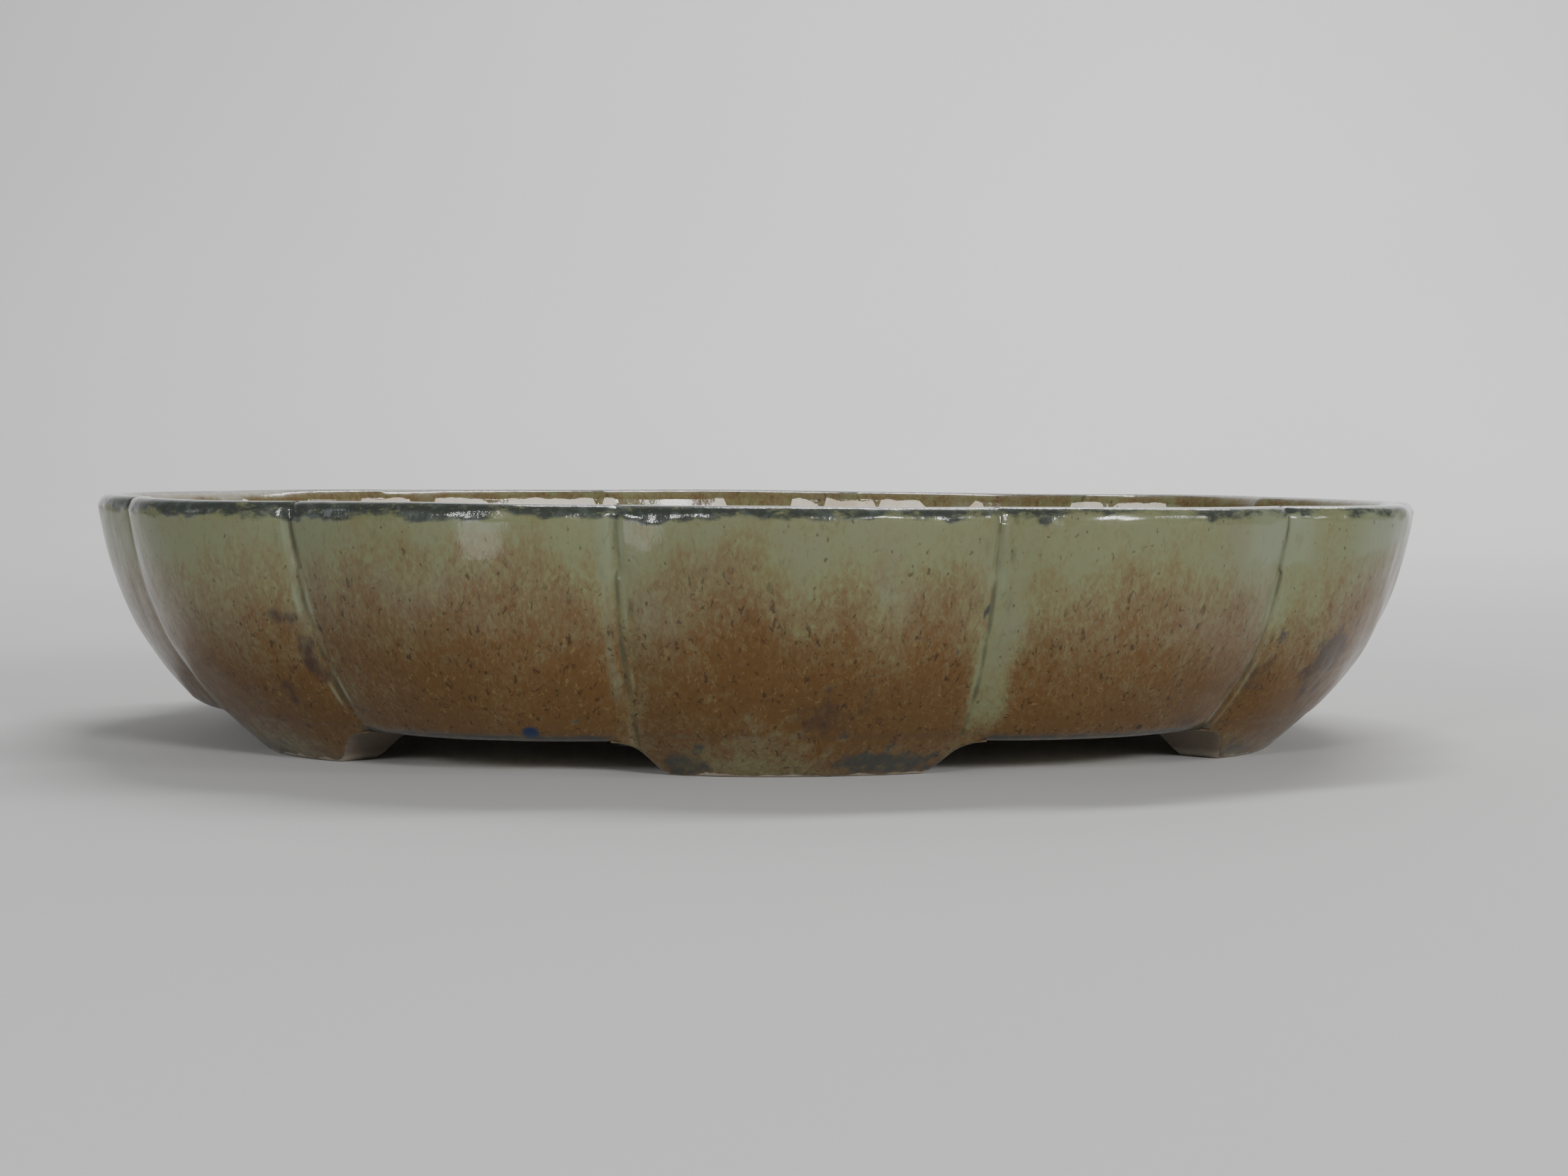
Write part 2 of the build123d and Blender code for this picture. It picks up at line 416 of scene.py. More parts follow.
def pool_and_sheen_field(points, theta, gap, band):
    """How thick and pale the glaze pools beside the grooves and in runs, with pale patches of painted
    reflection under the rim on the right lobes.
    """
    degrees, height = np.degrees(theta), points[:, 2] / MM
    pool_and_sheen = bell(np.abs(gap) - 1.7, 0.6) * (0.40 + 0.35 * waves(points, 15 * MM, 45))
    pool_and_sheen = np.maximum(pool_and_sheen, 0.30 * band * smooth(66, 54, height))
    pool_and_sheen = np.maximum(pool_and_sheen, 0.45 * bell(degrees - PALE_LINE_AT, 0.55) * smooth(12, 24, height))
    runs = smooth(0.35, 0.9, waves(points, 34 * MM, 47, squeeze=(1, 1, 0.22)))
    pool_and_sheen = np.maximum(pool_and_sheen, 0.30 * runs * smooth(38, 50, height))
    # Pale patches under the rim on the right lobes are painted reflection, with a scalloped lower edge
    painted_sheens = sum(stretch(degrees, limits) for limits in RIGHT_PAINTED_SHEENS)
    scallops = height - 58 + 5.5 * smooth(-24, -44, degrees) + 1.8 * waves(points, 9 * MM, 57)
    return np.maximum(pool_and_sheen, 0.62 * painted_sheens * smooth(-1.2, 1.2, scallops))


def furrow_field(points, gap):
    """How dark the line in each groove is, with a fainter broken line on each side of it: dark glaze with
    painted shade in the groove.
    """
    line = bell(gap, 0.8) * (0.70 + 0.35 * waves(points, 10 * MM, 50))
    beside = 0.4 * bell(np.abs(gap) - 3.4, 0.9) * (0.5 + 0.6 * waves(points, 8 * MM, 58))
    return line + beside


def thin_field(points, theta):
    """How thin the glaze is worn round the rim, in a band that is deeper on the pot's left."""
    degrees = np.degrees(theta)
    below = (RIM_TOP - points[:, 2]) / MM
    on_left = smooth(-75, -118, np.where(degrees > 0, degrees - 360, degrees))
    depth = 2.3 + on_left + waves(points, 13 * MM, 48) + 0.6 * waves(points, 4 * MM, 49)
    strength = 0.66 + 0.24 * on_left + 0.30 * waves(points, 17 * MM, 56)
    return smooth(depth + 1.4, depth - 1.2, below) * strength


def glaze_pattern(points):
    """The fields that the glaze's colour reads, from 0 to 1 at each point of the outside."""
    theta = polar(points)
    gap = groove_gap(theta) / MM
    band_edge = 0.35 * waves(points, 12 * MM, 46, squeeze=(1, 1, 0.5))
    band = stretch(np.degrees(theta) + band_edge, GREEN_BAND) * smooth(8, 17, points[:, 2] / MM)
    return {
        "rust": np.clip(rust_field(points, theta, gap, band), 0, 1),
        "pool_and_sheen": np.clip(pool_and_sheen_field(points, theta, gap, band), 0, 1),
        "thin": np.clip(thin_field(points, theta), 0, 1),
        "furrow": np.clip(furrow_field(points, gap), 0, 1),
        "dark": mark_strength(DARK_MARKS, points),
        "slate": mark_strength(SLATE_MARKS, points),
    }


def write_fields(mesh, fields):
    """Stores each field as a value on the mesh's points."""
    for name, values in fields.items():
        attribute = mesh.attributes.new(name, "FLOAT", "POINT")
        attribute.data.foreach_set("value", np.asarray(values, np.float32))


def mesh_points(mesh):
    """The mesh's points as rows."""
    flat = np.empty(len(mesh.vertices) * 3)
    mesh.vertices.foreach_get("co", flat)
    return flat.reshape(-1, 3)


def mesh_normals(mesh):
    """The mesh's point normals as rows."""
    flat = np.empty(len(mesh.vertices) * 3)
    mesh.vertices.foreach_get("normal", flat)
    return flat.reshape(-1, 3)


def set_points(mesh, points):
    """Moves the mesh's points."""
    mesh.vertices.foreach_set("co", np.ascontiguousarray(points).ravel())
    mesh.update()


def tidy_shell(mesh, sharp_degrees):
    """Turns a closed shell's faces outwards and smooths it, with creases where it is sharp."""
    shell = bmesh.new()
    shell.from_mesh(mesh)
    bmesh.ops.recalc_face_normals(shell, faces=shell.faces)
    shell.to_mesh(mesh)
    shell.free()
    mesh.shade_smooth()
    mesh.set_sharp_from_angle(angle=math.radians(sharp_degrees))
    mesh.update()


def new_object(name, mesh, material=None):
    """A new object in the scene that shows a mesh."""
    obj = bpy.data.objects.new(name, mesh)
    bpy.context.scene.collection.objects.link(obj)
    if material is not None and not mesh.materials:
        mesh.materials.append(material)
    return obj


def join_to_pot(obj, slot, *nodes):
    """The piece moves with the pot and hides the CAD nodes that it stands for; its slot is not used."""
    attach(obj, "root")
    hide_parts(*nodes)


# ---------------------------------------------------------------- geometry node helpers


def new_tree(name, inputs):
    """A geometry node tree with one mesh output and named inputs, given as (name, kind)."""
    tree = bpy.data.node_groups.new(name, "GeometryNodeTree")
    tree.interface.new_socket("Geometry", in_out="OUTPUT", socket_type="NodeSocketGeometry")
    for label, kind in inputs:
        tree.interface.new_socket(label, in_out="INPUT", socket_type=f"NodeSocket{kind}")
    return tree, tree.nodes.new("NodeGroupInput").outputs, tree.nodes.new("NodeGroupOutput").inputs


def wire(tree, node_kind, settings=None, **sockets):
    """Adds a node, sets its settings and feeds its sockets, by name or _number, with links or values."""
    node = tree.nodes.new(node_kind)
    for name, value in (settings or {}).items():
        setattr(node, name, value)
    for name, value in sockets.items():
        socket = node.inputs[int(name[1:])] if name[0] == "_" else node.inputs[name.replace("_", " ")]
        if isinstance(value, bpy.types.NodeSocket):
            tree.links.new(value, socket)
        else:
            socket.default_value = value
    return node


def arithmetic(tree, operation, a, b):
    """The result of a two-number sum."""
    return wire(tree, "ShaderNodeMath", {"operation": operation}, _0=a, _1=b).outputs[0]


def grown_mesh(tree, name, values):
    """Runs a geometry node tree on an empty mesh and returns what it makes as a plain mesh."""
    carrier = new_object(f"{name}_carrier", bpy.data.meshes.new(f"{name}_carrier"))
    modifier = carrier.modifiers.new("make", "NODES")
    modifier.node_group = tree
    for item in tree.interface.items_tree:
        if item.in_out == "INPUT" and item.name in values:
            modifier[item.identifier] = values[item.name]
    graph = bpy.context.evaluated_depsgraph_get()
    mesh = bpy.data.meshes.new_from_object(carrier.evaluated_get(graph))
    mesh.name = name
    carrier.modifiers.remove(modifier)
    bpy.data.objects.remove(carrier)
    return mesh


def guide_object(name, points, edges=()):
    """A hidden object whose points a tree reads."""
    mesh = bpy.data.meshes.new(name)
    mesh.from_pydata([tuple(p) for p in points], list(edges), [])
    return new_object(name, mesh)


def finish_tree(tree, geometry, material, output):
    """Ends a tree with real geometry that carries the material."""
    real = wire(tree, "GeometryNodeRealizeInstances", Geometry=geometry)
    painted = wire(tree, "GeometryNodeSetMaterial", Geometry=real.outputs[0], Material=material)
    tree.links.new(painted.outputs[0], output)


def shell_tree():
    """Sweeps a closed profile round a closed outline: each point is outline times profile."""
    tree, given, out = new_tree(
        "Lobed Shell",
        [("Outline", "Object"), ("Profile", "Object"), ("Around", "Int"), ("Along", "Int"),
         ("Merge Distance", "Float"), ("Material", "Material")],
    )
    across = arithmetic(tree, "ADD", given["Around"], 1)
    along = arithmetic(tree, "ADD", given["Along"], 1)
    grid = wire(tree, "GeometryNodeMeshGrid", Vertices_X=across, Vertices_Y=along)
    index = tree.nodes.new("GeometryNodeInputIndex").outputs[0]
    column = arithmetic(tree, "FLOOR", arithmetic(tree, "DIVIDE", index, along), 0)
    column = arithmetic(tree, "MODULO", column, given["Around"])
    row = arithmetic(tree, "MODULO", arithmetic(tree, "MODULO", index, along), given["Along"])
    position = tree.nodes.new("GeometryNodeInputPosition").outputs[0]
    sampled = []
    for guide, number in (("Outline", column), ("Profile", row)):
        info = wire(tree, "GeometryNodeObjectInfo", Object=given[guide])
        sample = wire(
            tree, "GeometryNodeSampleIndex", {"data_type": "FLOAT_VECTOR", "domain": "POINT"},
            Geometry=info.outputs["Geometry"], Value=position, Index=number,
        )
        sampled.append(sample.outputs[0])
    place = wire(tree, "ShaderNodeVectorMath", {"operation": "MULTIPLY"}, _0=sampled[0], _1=sampled[1])
    moved = wire(tree, "GeometryNodeSetPosition", Geometry=grid.outputs[0], Position=place.outputs[0])
    geometry = moved.outputs[0]
    for label, number in (("column", column), ("row", row)):
        stored = wire(
            tree, "GeometryNodeStoreNamedAttribute", {"data_type": "FLOAT", "domain": "POINT"},
            Geometry=geometry, Name=label, Value=number,
        )
        geometry = stored.outputs[0]
    closeness = given["Merge Distance"]
    merged = wire(tree, "GeometryNodeMergeByDistance", Geometry=geometry, Distance=closeness)
    smoothed = wire(tree, "GeometryNodeSetShadeSmooth", Geometry=merged.outputs[0])
    finish_tree(tree, smoothed.outputs[0], given["Material"], out[0])
    return tree


def screen_tree():
    """A moulded square mesh: two crossed layers of rounded strands with a knot at each crossing."""
    tree, given, out = new_tree(
        "Moulded Screen",
        [("Pitch", "Float"), ("Count", "Int"), ("Strand Width", "Float"), ("Thickness", "Float"),
         ("Material", "Material")],
    )
    strands = arithmetic(tree, "ADD", given["Count"], 1)
    side = arithmetic(tree, "MULTIPLY", given["Pitch"], given["Count"])
    half = arithmetic(tree, "MULTIPLY", side, 0.5)
    low = arithmetic(tree, "MULTIPLY", half, -1)
    radius = arithmetic(tree, "MULTIPLY", given["Strand Width"], 0.5)
    flatten = arithmetic(tree, "DIVIDE", given["Thickness"], given["Strand Width"])
    ring = wire(tree, "GeometryNodeCurvePrimitiveCircle", Resolution=10, Radius=radius)
    start = wire(tree, "ShaderNodeCombineXYZ", X=low)
    end = wire(tree, "ShaderNodeCombineXYZ", X=half)
    line = wire(tree, "GeometryNodeCurvePrimitiveLine", Start=start.outputs[0], End=end.outputs[0])
    bar = wire(
        tree, "GeometryNodeCurveToMesh",
        Curve=line.outputs[0], Profile_Curve=ring.outputs[0], Fill_Caps=True,
    )
    squeeze = wire(tree, "ShaderNodeCombineXYZ", X=1.0, Y=1.0, Z=flatten)
    bar = wire(tree, "GeometryNodeTransform", Geometry=bar.outputs[0], Scale=squeeze.outputs[0])
    first = wire(tree, "ShaderNodeCombineXYZ", Y=low)
    step = wire(tree, "ShaderNodeCombineXYZ", Y=given["Pitch"])
    posts = wire(
        tree, "GeometryNodeMeshLine",
        Count=strands, Start_Location=first.outputs[0], Offset=step.outputs[0],
    )
    layer = wire(tree, "GeometryNodeInstanceOnPoints", Points=posts.outputs[0], Instance=bar.outputs[0])
    quarter_turn = (0.0, 0.0, math.radians(90))
    crossed = wire(tree, "GeometryNodeTransform", Geometry=layer.outputs[0], Rotation=quarter_turn)
    knot_radius = arithmetic(tree, "MULTIPLY", radius, KNOT_SPREAD)
    knot = wire(tree, "GeometryNodeMeshUVSphere", Segments=10, Rings=6, Radius=knot_radius)
    knot_height = arithmetic(tree, "MULTIPLY", flatten, KNOT_FLATNESS)
    squash = wire(tree, "ShaderNodeCombineXYZ", X=1.0, Y=1.0, Z=knot_height)
    knot = wire(tree, "GeometryNodeTransform", Geometry=knot.outputs[0], Scale=squash.outputs[0])
    crossings = wire(
        tree, "GeometryNodeMeshGrid", Size_X=side, Size_Y=side, Vertices_X=strands, Vertices_Y=strands
    )
    knots = wire(
        tree, "GeometryNodeInstanceOnPoints", Points=crossings.outputs[0], Instance=knot.outputs[0]
    )
    together = tree.nodes.new("GeometryNodeJoinGeometry")
    for layer_part in (knots, crossed, layer):
        tree.links.new(layer_part.outputs[0], together.inputs[0])
    real = wire(tree, "GeometryNodeRealizeInstances", Geometry=together.outputs[0])
    smoothed = wire(tree, "GeometryNodeSetShadeSmooth", Geometry=real.outputs[0])
    finish_tree(tree, smoothed.outputs[0], given["Material"], out[0])
    return tree


def wire_tree():
    """A round wire along a path, with each corner cut across at its own bend radius."""
    tree, given, out = new_tree(
        "Bent Wire", [("Path", "Object"), ("Diameter", "Float"), ("Material", "Material")]
    )
    info = wire(tree, "GeometryNodeObjectInfo", Object=given["Path"])
    curve = wire(tree, "GeometryNodeMeshToCurve", Mesh=info.outputs["Geometry"])
    bend = wire(tree, "GeometryNodeInputNamedAttribute", {"data_type": "FLOAT"}, Name="bend")
    eased = wire(
        tree, "GeometryNodeFilletCurve", {"mode": "POLY"},
        Curve=curve.outputs[0], Radius=bend.outputs[0], Count=1,
    )
    radius = arithmetic(tree, "MULTIPLY", given["Diameter"], 0.5)
    ring = wire(tree, "GeometryNodeCurvePrimitiveCircle", Resolution=16, Radius=radius)
    rod = wire(
        tree, "GeometryNodeCurveToMesh",
        Curve=eased.outputs[0], Profile_Curve=ring.outputs[0], Fill_Caps=True,
    )
    smoothed = wire(tree, "GeometryNodeSetShadeSmooth", Geometry=rod.outputs[0])
    finish_tree(tree, smoothed.outputs[0], given["Material"], out[0])
    return tree


# ---------------------------------------------------------------- materials


def point_on_wall(degrees, height):
    """The point of the wall's outside at a polar angle and a height."""
    theta = math.radians(degrees)
    radius = float(rim_radius(np.array(theta)) * plan_scale(height))
    return radius * math.cos(theta), radius * math.sin(theta), height


COBALT_SPOT = point_on_wall(-118.4, 11.5 * MM)
IRON_SPOT = point_on_wall(-53.5, 12.0 * MM)


class Finish:
    """A material's shader tree, with short calls for the nodes that the finishes use."""

    def __init__(self, name):
        self.material = bpy.data.materials.new(name)
        self.material.use_nodes = True
        self.tree = self.material.node_tree
        self.shader = self.tree.nodes["Principled BSDF"]
        self.place = self.tree.nodes.new("ShaderNodeTexCoord").outputs["Object"]

    def node(self, kind, settings=None, **sockets):
        """Adds a node and feeds its sockets."""
        return wire(self.tree, kind, settings, **sockets)

    def sum(self, operation, a, b):
        """The result of a two-number sum."""
        return arithmetic(self.tree, operation, a, b)

    def plus(self, a, b):
        return self.sum("ADD", a, b)

    def times(self, a, b):
        return self.sum("MULTIPLY", a, b)

    def field(self, name):
        """A field that is stored on the mesh."""
        return self.node("ShaderNodeAttribute", {"attribute_name": name}).outputs["Fac"]

    def stretched(self, x, y, z):
        """The place on the piece, scaled along each axis, so that a pattern on it is drawn out."""
        return self.node("ShaderNodeMapping", Vector=self.place, Scale=(x, y, z)).outputs[0]

    def noise(self, size, detail=2.0, roughness=0.5, vector=None, distortion=0.0):
        """Uneven values about 0.5, with lumps of a size in metres."""
        return self.node(
            "ShaderNodeTexNoise", Vector=vector or self.place, Scale=1 / size, Detail=detail,
            Roughness=roughness, Distortion=distortion,
        ).outputs["Fac"]

    def swing(self, noise, amount):
        """Noise turned into a swing of plus or minus amount."""
        return self.times(self.sum("SUBTRACT", noise, 0.5), 2 * amount)

    def between(self, value, low, high, to_low=0.0, to_high=1.0):
        """Maps a range of values to another, with a soft start and end."""
        return self.node(
            "ShaderNodeMapRange", {"interpolation_type": "SMOOTHSTEP"},
            Value=value, From_Min=low, From_Max=high, To_Min=to_low, To_Max=to_high,
        ).outputs[0]

    def ramp(self, value, stops):
        """Colours blended along a value, given as (place, colour)."""
        node = self.node("ShaderNodeValToRGB", Fac=value)
        elements = node.color_ramp.elements
        while len(elements) < len(stops):
            elements.new(0.5)
        for element, (place, colour) in zip(elements, stops):
            element.position = place
            element.color = (*colour, 1)
        return node.outputs[0]

    def blend(self, amount, a, b):
        """Colour a turning into colour b by an amount from 0 to 1."""
        node = self.tree.nodes.new("ShaderNodeMix")
        node.data_type = "RGBA"
        for socket, value in zip((node.inputs[0], node.inputs[6], node.inputs[7]), (amount, a, b)):
            if isinstance(value, bpy.types.NodeSocket):
                self.tree.links.new(value, socket)
            elif isinstance(value, (int, float)):
                socket.default_value = value
            else:
                socket.default_value = (*value, 1)
        return node.outputs[2]

    def near(self, point, radius, softness):
        """1 inside a small ball round a point, fading over softness."""
        away = self.node("ShaderNodeVectorMath", {"operation": "DISTANCE"}, _0=self.place, _1=point)
        return self.between(away.outputs["Value"], radius + softness, radius - softness)

    def relief(self, height, distance, strength=1.0, under=None):
        """A bump of a height field, on top of another bump if there is one."""
        node = self.node("ShaderNodeBump", Height=height, Distance=distance, Strength=strength)
        if under is not None:
            self.tree.links.new(under, node.inputs["Normal"])
        return node.outputs[0]

    def paint(self, colour, roughness, normal=None):
        """Feeds the shader and returns the material."""
        for value, name in ((colour, "Base Color"), (roughness, "Roughness"), (normal, "Normal")):
            if isinstance(value, bpy.types.NodeSocket):
                self.tree.links.new(value, self.shader.inputs[name])
            elif value is not None:
                self.shader.inputs[name].default_value = value
        return self.material


def clay_colour(finish, pale, toasted):
    """Fired clay: pale, with warmer clouds, sandy grains and a few iron specks."""
    clouds = finish.noise(28 * MM, detail=4, roughness=0.6)
    grain = finish.noise(0.9 * MM, detail=3, roughness=0.7)
    shaded = tuple(c * GRAIN_SHADE for c in pale)
    mixed = finish.blend(finish.between(clouds, 0.35, 0.7), pale, toasted)
    mixed = finish.blend(finish.between(grain, 0.35, 0.75, 0.0, 0.35), mixed, shaded)
    specks = finish.noise(1.6 * MM, detail=1, roughness=0.4)
    return finish.blend(finish.between(specks, 0.73, 0.78, 0.0, 0.7), mixed, IRON_SPECK)


def glaze_colour(f, colours, strokes, runs):
    """Green glaze breaking to rust, with milky clouds, pale pools and painted pale reflections, gold
    flecks and iron hairs.
    """
    rust = f.field("rust")
    lively = f.between(rust, 0.0, 0.35, 0.42, 1.0)
    clouds = f.noise(17 * MM, detail=3, roughness=0.55)
    tone = f.plus(rust, f.times(f.swing(strokes, 0.74), lively))
    tone = f.plus(tone, f.times(f.swing(runs, 0.36), lively))
    tone = f.plus(tone, f.swing(clouds, 0.12))
    colour = f.ramp(
        tone,
        [
            (0.00, colours.green), (0.24, colours.olive), (0.50, colours.tan),
            (0.78, colours.rust), (1.00, colours.deep_rust),
        ],
    )
    milk = f.noise(13 * MM, detail=2, roughness=0.5, vector=f.stretched(1, 1, 0.5))
    veil = f.times(f.between(milk, 0.50, 0.72, 0.0, 0.30), f.between(rust, 0.9, 0.2))
    colour = f.blend(veil, colour, colours.veil)
    pool_and_sheen = f.plus(f.field("pool_and_sheen"), f.swing(runs, 0.10))
    # Pooled glaze and the painted reflection under the right rim both turn pale celadon
    colour = f.blend(f.between(pool_and_sheen, 0.10, 0.95), colour, colours.celadon_and_sheen)
    gold = f.noise(1.1 * MM, detail=2, roughness=0.55, vector=f.stretched(1, 1, 0.45), distortion=0.8)
    flecks = f.times(f.between(gold, 0.60, 0.72, 0.0, 0.55), f.between(rust, 0.15, 0.5))
    colour = f.blend(flecks, colour, colours.gold)
    iron = f.noise(1.4 * MM, detail=2, roughness=0.6, vector=f.stretched(1, 1, 0.40), distortion=0.8)
    hairs = f.times(f.between(iron, 0.58, 0.72, 0.0, 0.75), f.between(rust, 0.10, 0.6, 0.25, 1.0))
    return f.blend(hairs, colour, colours.umber)


def glaze_marks(f, colours, colour, runs):
    """Dark lines in the grooves, of dark glaze with painted groove shade, dark and slate marks, and iron
    specks, over the glaze.
    """
    for label, paint, strength in (
        ("furrow", colours.furrow, 0.75),
        ("dark", colours.purple, 0.80),
        ("slate", colours.slate, 0.85),
    ):
        mark = f.times(f.field(label), f.plus(1, f.swing(runs, 1.4)))
        colour = f.blend(f.between(mark, 0.10, 1.0, 0.0, strength), colour, paint)
    specks = f.noise(1.3 * MM, detail=1, roughness=0.3, vector=f.stretched(1, 1, 0.7))
    return f.blend(f.between(specks, 0.715, 0.79, 0.0, 0.6), colour, colours.umber)


def worn_rim(f, colours, colour, broken):
    """The band round the rim, worn thin and blue-black, over the glaze."""
    thin = f.times(f.field("thin"), f.plus(1, f.swing(broken, 1.7)))
    blue = f.between(f.noise(3.0 * MM, detail=3), 0.50, 0.68)
    band = f.blend(blue, colours.edge, colours.edge_blue)
    return f.blend(f.between(thin, 0.12, 0.80, 0.0, 0.93), colour, band)


def glaze_finish(colours):
    """The running glaze over clay, read from the fields that are stored on the wall and the feet."""
    f = Finish("running_glaze")
    strokes = f.noise(
        1.25 * MM, detail=3, roughness=0.65, vector=f.stretched(1, 1, 0.50), distortion=0.6
    )
    runs = f.noise(3.6 * MM, detail=4, roughness=0.62, vector=f.stretched(1, 1, 0.28))
    broken = f.noise(1.5 * MM, detail=4, roughness=0.75, vector=f.stretched(0.45, 0.45, 1))
    colour = glaze_colour(f, colours, strokes, runs)
    colour = glaze_marks(f, colours, colour, runs)
    colour = worn_rim(f, colours, colour, broken)
    colour = f.blend(f.near(COBALT_SPOT, 2.0 * MM, 0.7 * MM), colour, colours.cobalt)
    colour = f.blend(f.near(IRON_SPOT, 0.9 * MM, 0.4 * MM), colour, colours.umber)

    limit = f.plus(f.field("glaze_mm"), f.swing(f.noise(1.3 * MM, detail=2), 0.30))
    covered = f.between(limit, -0.10, 0.12)
    margin = f.between(f.sum("ABSOLUTE", limit, 0), 0.55, 0.0, 0.0, 0.55)
    clay = clay_colour(f, colours.clay, colours.clay_toasted)
    # Painted shade with a grey-brown smear darkens the bare clay under the wall and on the feet
    clay = f.blend(f.field("shade_and_smear"), clay, colours.shade_and_smear_tint)
    colour = f.blend(covered, clay, colour)
    colour = f.blend(f.times(margin, covered), colour, colours.tan)

    gloss = f.between(runs, 0.3, 0.7, 0.30, 0.42)
    roughness = f.node("ShaderNodeMix", {"data_type": "FLOAT"}, _0=covered, _2=CLAY_ROUGHNESS, _3=gloss)
    ripples = f.noise(9 * MM, detail=2, roughness=0.45, vector=f.stretched(1, 1, 0.55))
    brushed = f.times(f.times(broken, f.field("thin")), 0.45)
    skin = f.plus(ripples, f.plus(f.times(strokes, 0.15), brushed))
    skin = f.times(skin, covered)
    sand = f.noise(0.7 * MM, detail=3, roughness=0.7)
    sand = f.times(sand, f.sum("SUBTRACT", 1, covered))
    normal = f.relief(sand, 0.25 * MM, 0.8, under=f.relief(skin, 0.28 * MM, 1.0))
    wet = f.between(f.field("thin"), 0.0, 0.5, 0.55, 1.0)
    f.tree.links.new(f.times(covered, wet), f.shader.inputs["Coat Weight"])
    f.tree.links.new(normal, f.shader.inputs["Coat Normal"])
    f.shader.inputs["Coat Roughness"].default_value = GLAZE_COAT_ROUGHNESS
    f.shader.inputs["Specular IOR Level"].default_value = GLAZE_SPECULAR
    return f.paint(colour, roughness.outputs[0], normal)


def bare_clay_finish(colours):
    """Unglazed clay of the floor: trowelled, sandy, stained round the holes by old water."""
    f = Finish("trowelled_clay")
    colour = clay_colour(f, colours.clay, colours.clay_toasted)
    drag = f.noise(5 * MM, detail=3, roughness=0.6, vector=f.stretched(0.16, 1, 1))
    colour = f.blend(f.between(drag, 0.45, 0.75, 0.0, 0.25), colour, colours.clay_toasted)
    low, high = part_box("drain_screen_right")
    drain = (low.x + high.x) / 2
    for side in (-drain, drain):
        stain = f.near((side, 0, SLAB_TOP), 19 * MM, 9 * MM)
        patches = f.between(f.noise(8 * MM, detail=4), 0.3, 0.8, 0.1, 0.5)
        colour = f.blend(f.times(stain, patches), colour, colours.water_stain)
    sand = f.noise(0.8 * MM, detail=3, roughness=0.7)
    normal = f.relief(sand, 0.22 * MM, 0.8, under=f.relief(drag, 0.5 * MM, 0.8))
    return f.paint(colour, f.between(sand, 0.2, 0.8, 0.80, 0.94), normal)


def screen_finish(colours):
    """Moulded black-green plastic with dust caught on it."""
    f = Finish("moulded_plastic")
    scuffs = f.noise(6 * MM, detail=4, roughness=0.65)
    dust = f.between(scuffs, 0.5, 0.78, 0.0, 0.35)
    colour = f.blend(dust, colours.plastic, colours.dust)
    pebble = f.noise(0.35 * MM, detail=2)
    return f.paint(colour, f.between(scuffs, 0.3, 0.75, 0.38, 0.62), f.relief(pebble, 0.03 * MM, 0.6))


def wire_finish(colours):
    """Drawn aluminium wire with a dull oxide and fine scratches along it."""
    f = Finish("drawn_wire")
    oxide = f.noise(3 * MM, detail=4, roughness=0.6)
    colour = f.blend(f.between(oxide, 0.4, 0.75), colours.metal, colours.oxide)
    scratch = f.noise(0.5 * MM, detail=3, vector=f.stretched(0.2, 1, 1))
    f.shader.inputs["Metallic"].default_value = 1.0
    return f.paint(colour, f.between(oxide, 0.3, 0.8, 0.28, 0.5), f.relief(scratch, 0.02 * MM, 0.5))


def stage_finish(name, colour, roughness):
    """A plain matt surface for the stage, with a breath of unevenness."""
    f = Finish(name)
    cloud = f.noise(0.5, detail=2)
    shade = f.blend(f.between(cloud, 0.3, 0.7), tuple(colour), tuple(c * 0.97 for c in colour))
    return f.paint(shade, roughness)


# ---------------------------------------------------------------- the wall


def arc_rows(start, end, corner_x, corner_z, count):
    """Rows (inset, z) on a quarter ellipse between two points, as cos and sin about its corner."""
    turn = np.linspace(0, math.pi / 2, count + 1)[:-1]
    inset = corner_x + (start[0] - corner_x) * np.cos(turn) + (end[0] - corner_x) * np.sin(turn)
    z = corner_z + (start[1] - corner_z) * np.cos(turn) + (end[1] - corner_z) * np.sin(turn)
    return np.stack([inset, z], 1)


def straight_rows(start, end, spacing):
    """Rows (inset, z) on a straight run, the last point left to the next run."""
    count = max(1, round(math.dist(start, end) / spacing))
    share = np.arange(count) / count
    return np.array(start) + share[:, None] * (np.array(end) - np.array(start))


def inner_inset(z):
    """The wall's thickness in plan at a height."""
    rise = np.clip((z - SLAB_TOP) / (RIM_TOP - SLAB_TOP), 0, 1)
    return WALL_AT_SLAB + (WALL_AT_RIM - WALL_AT_SLAB) * rise


# The plan's scale where the slab meets the wall, and at the rim's crest. Rim rows past the crest's
# scale face outwards, and the side has the line cut in its grooves where it is past it too
SEAM_SCALE = ring_scale(np.array(WALL_BASE), np.array(SLAB_SEAM))
RIM_CREST_SCALE = 1 - RIM_OUTER / HALF_PLAN[0]


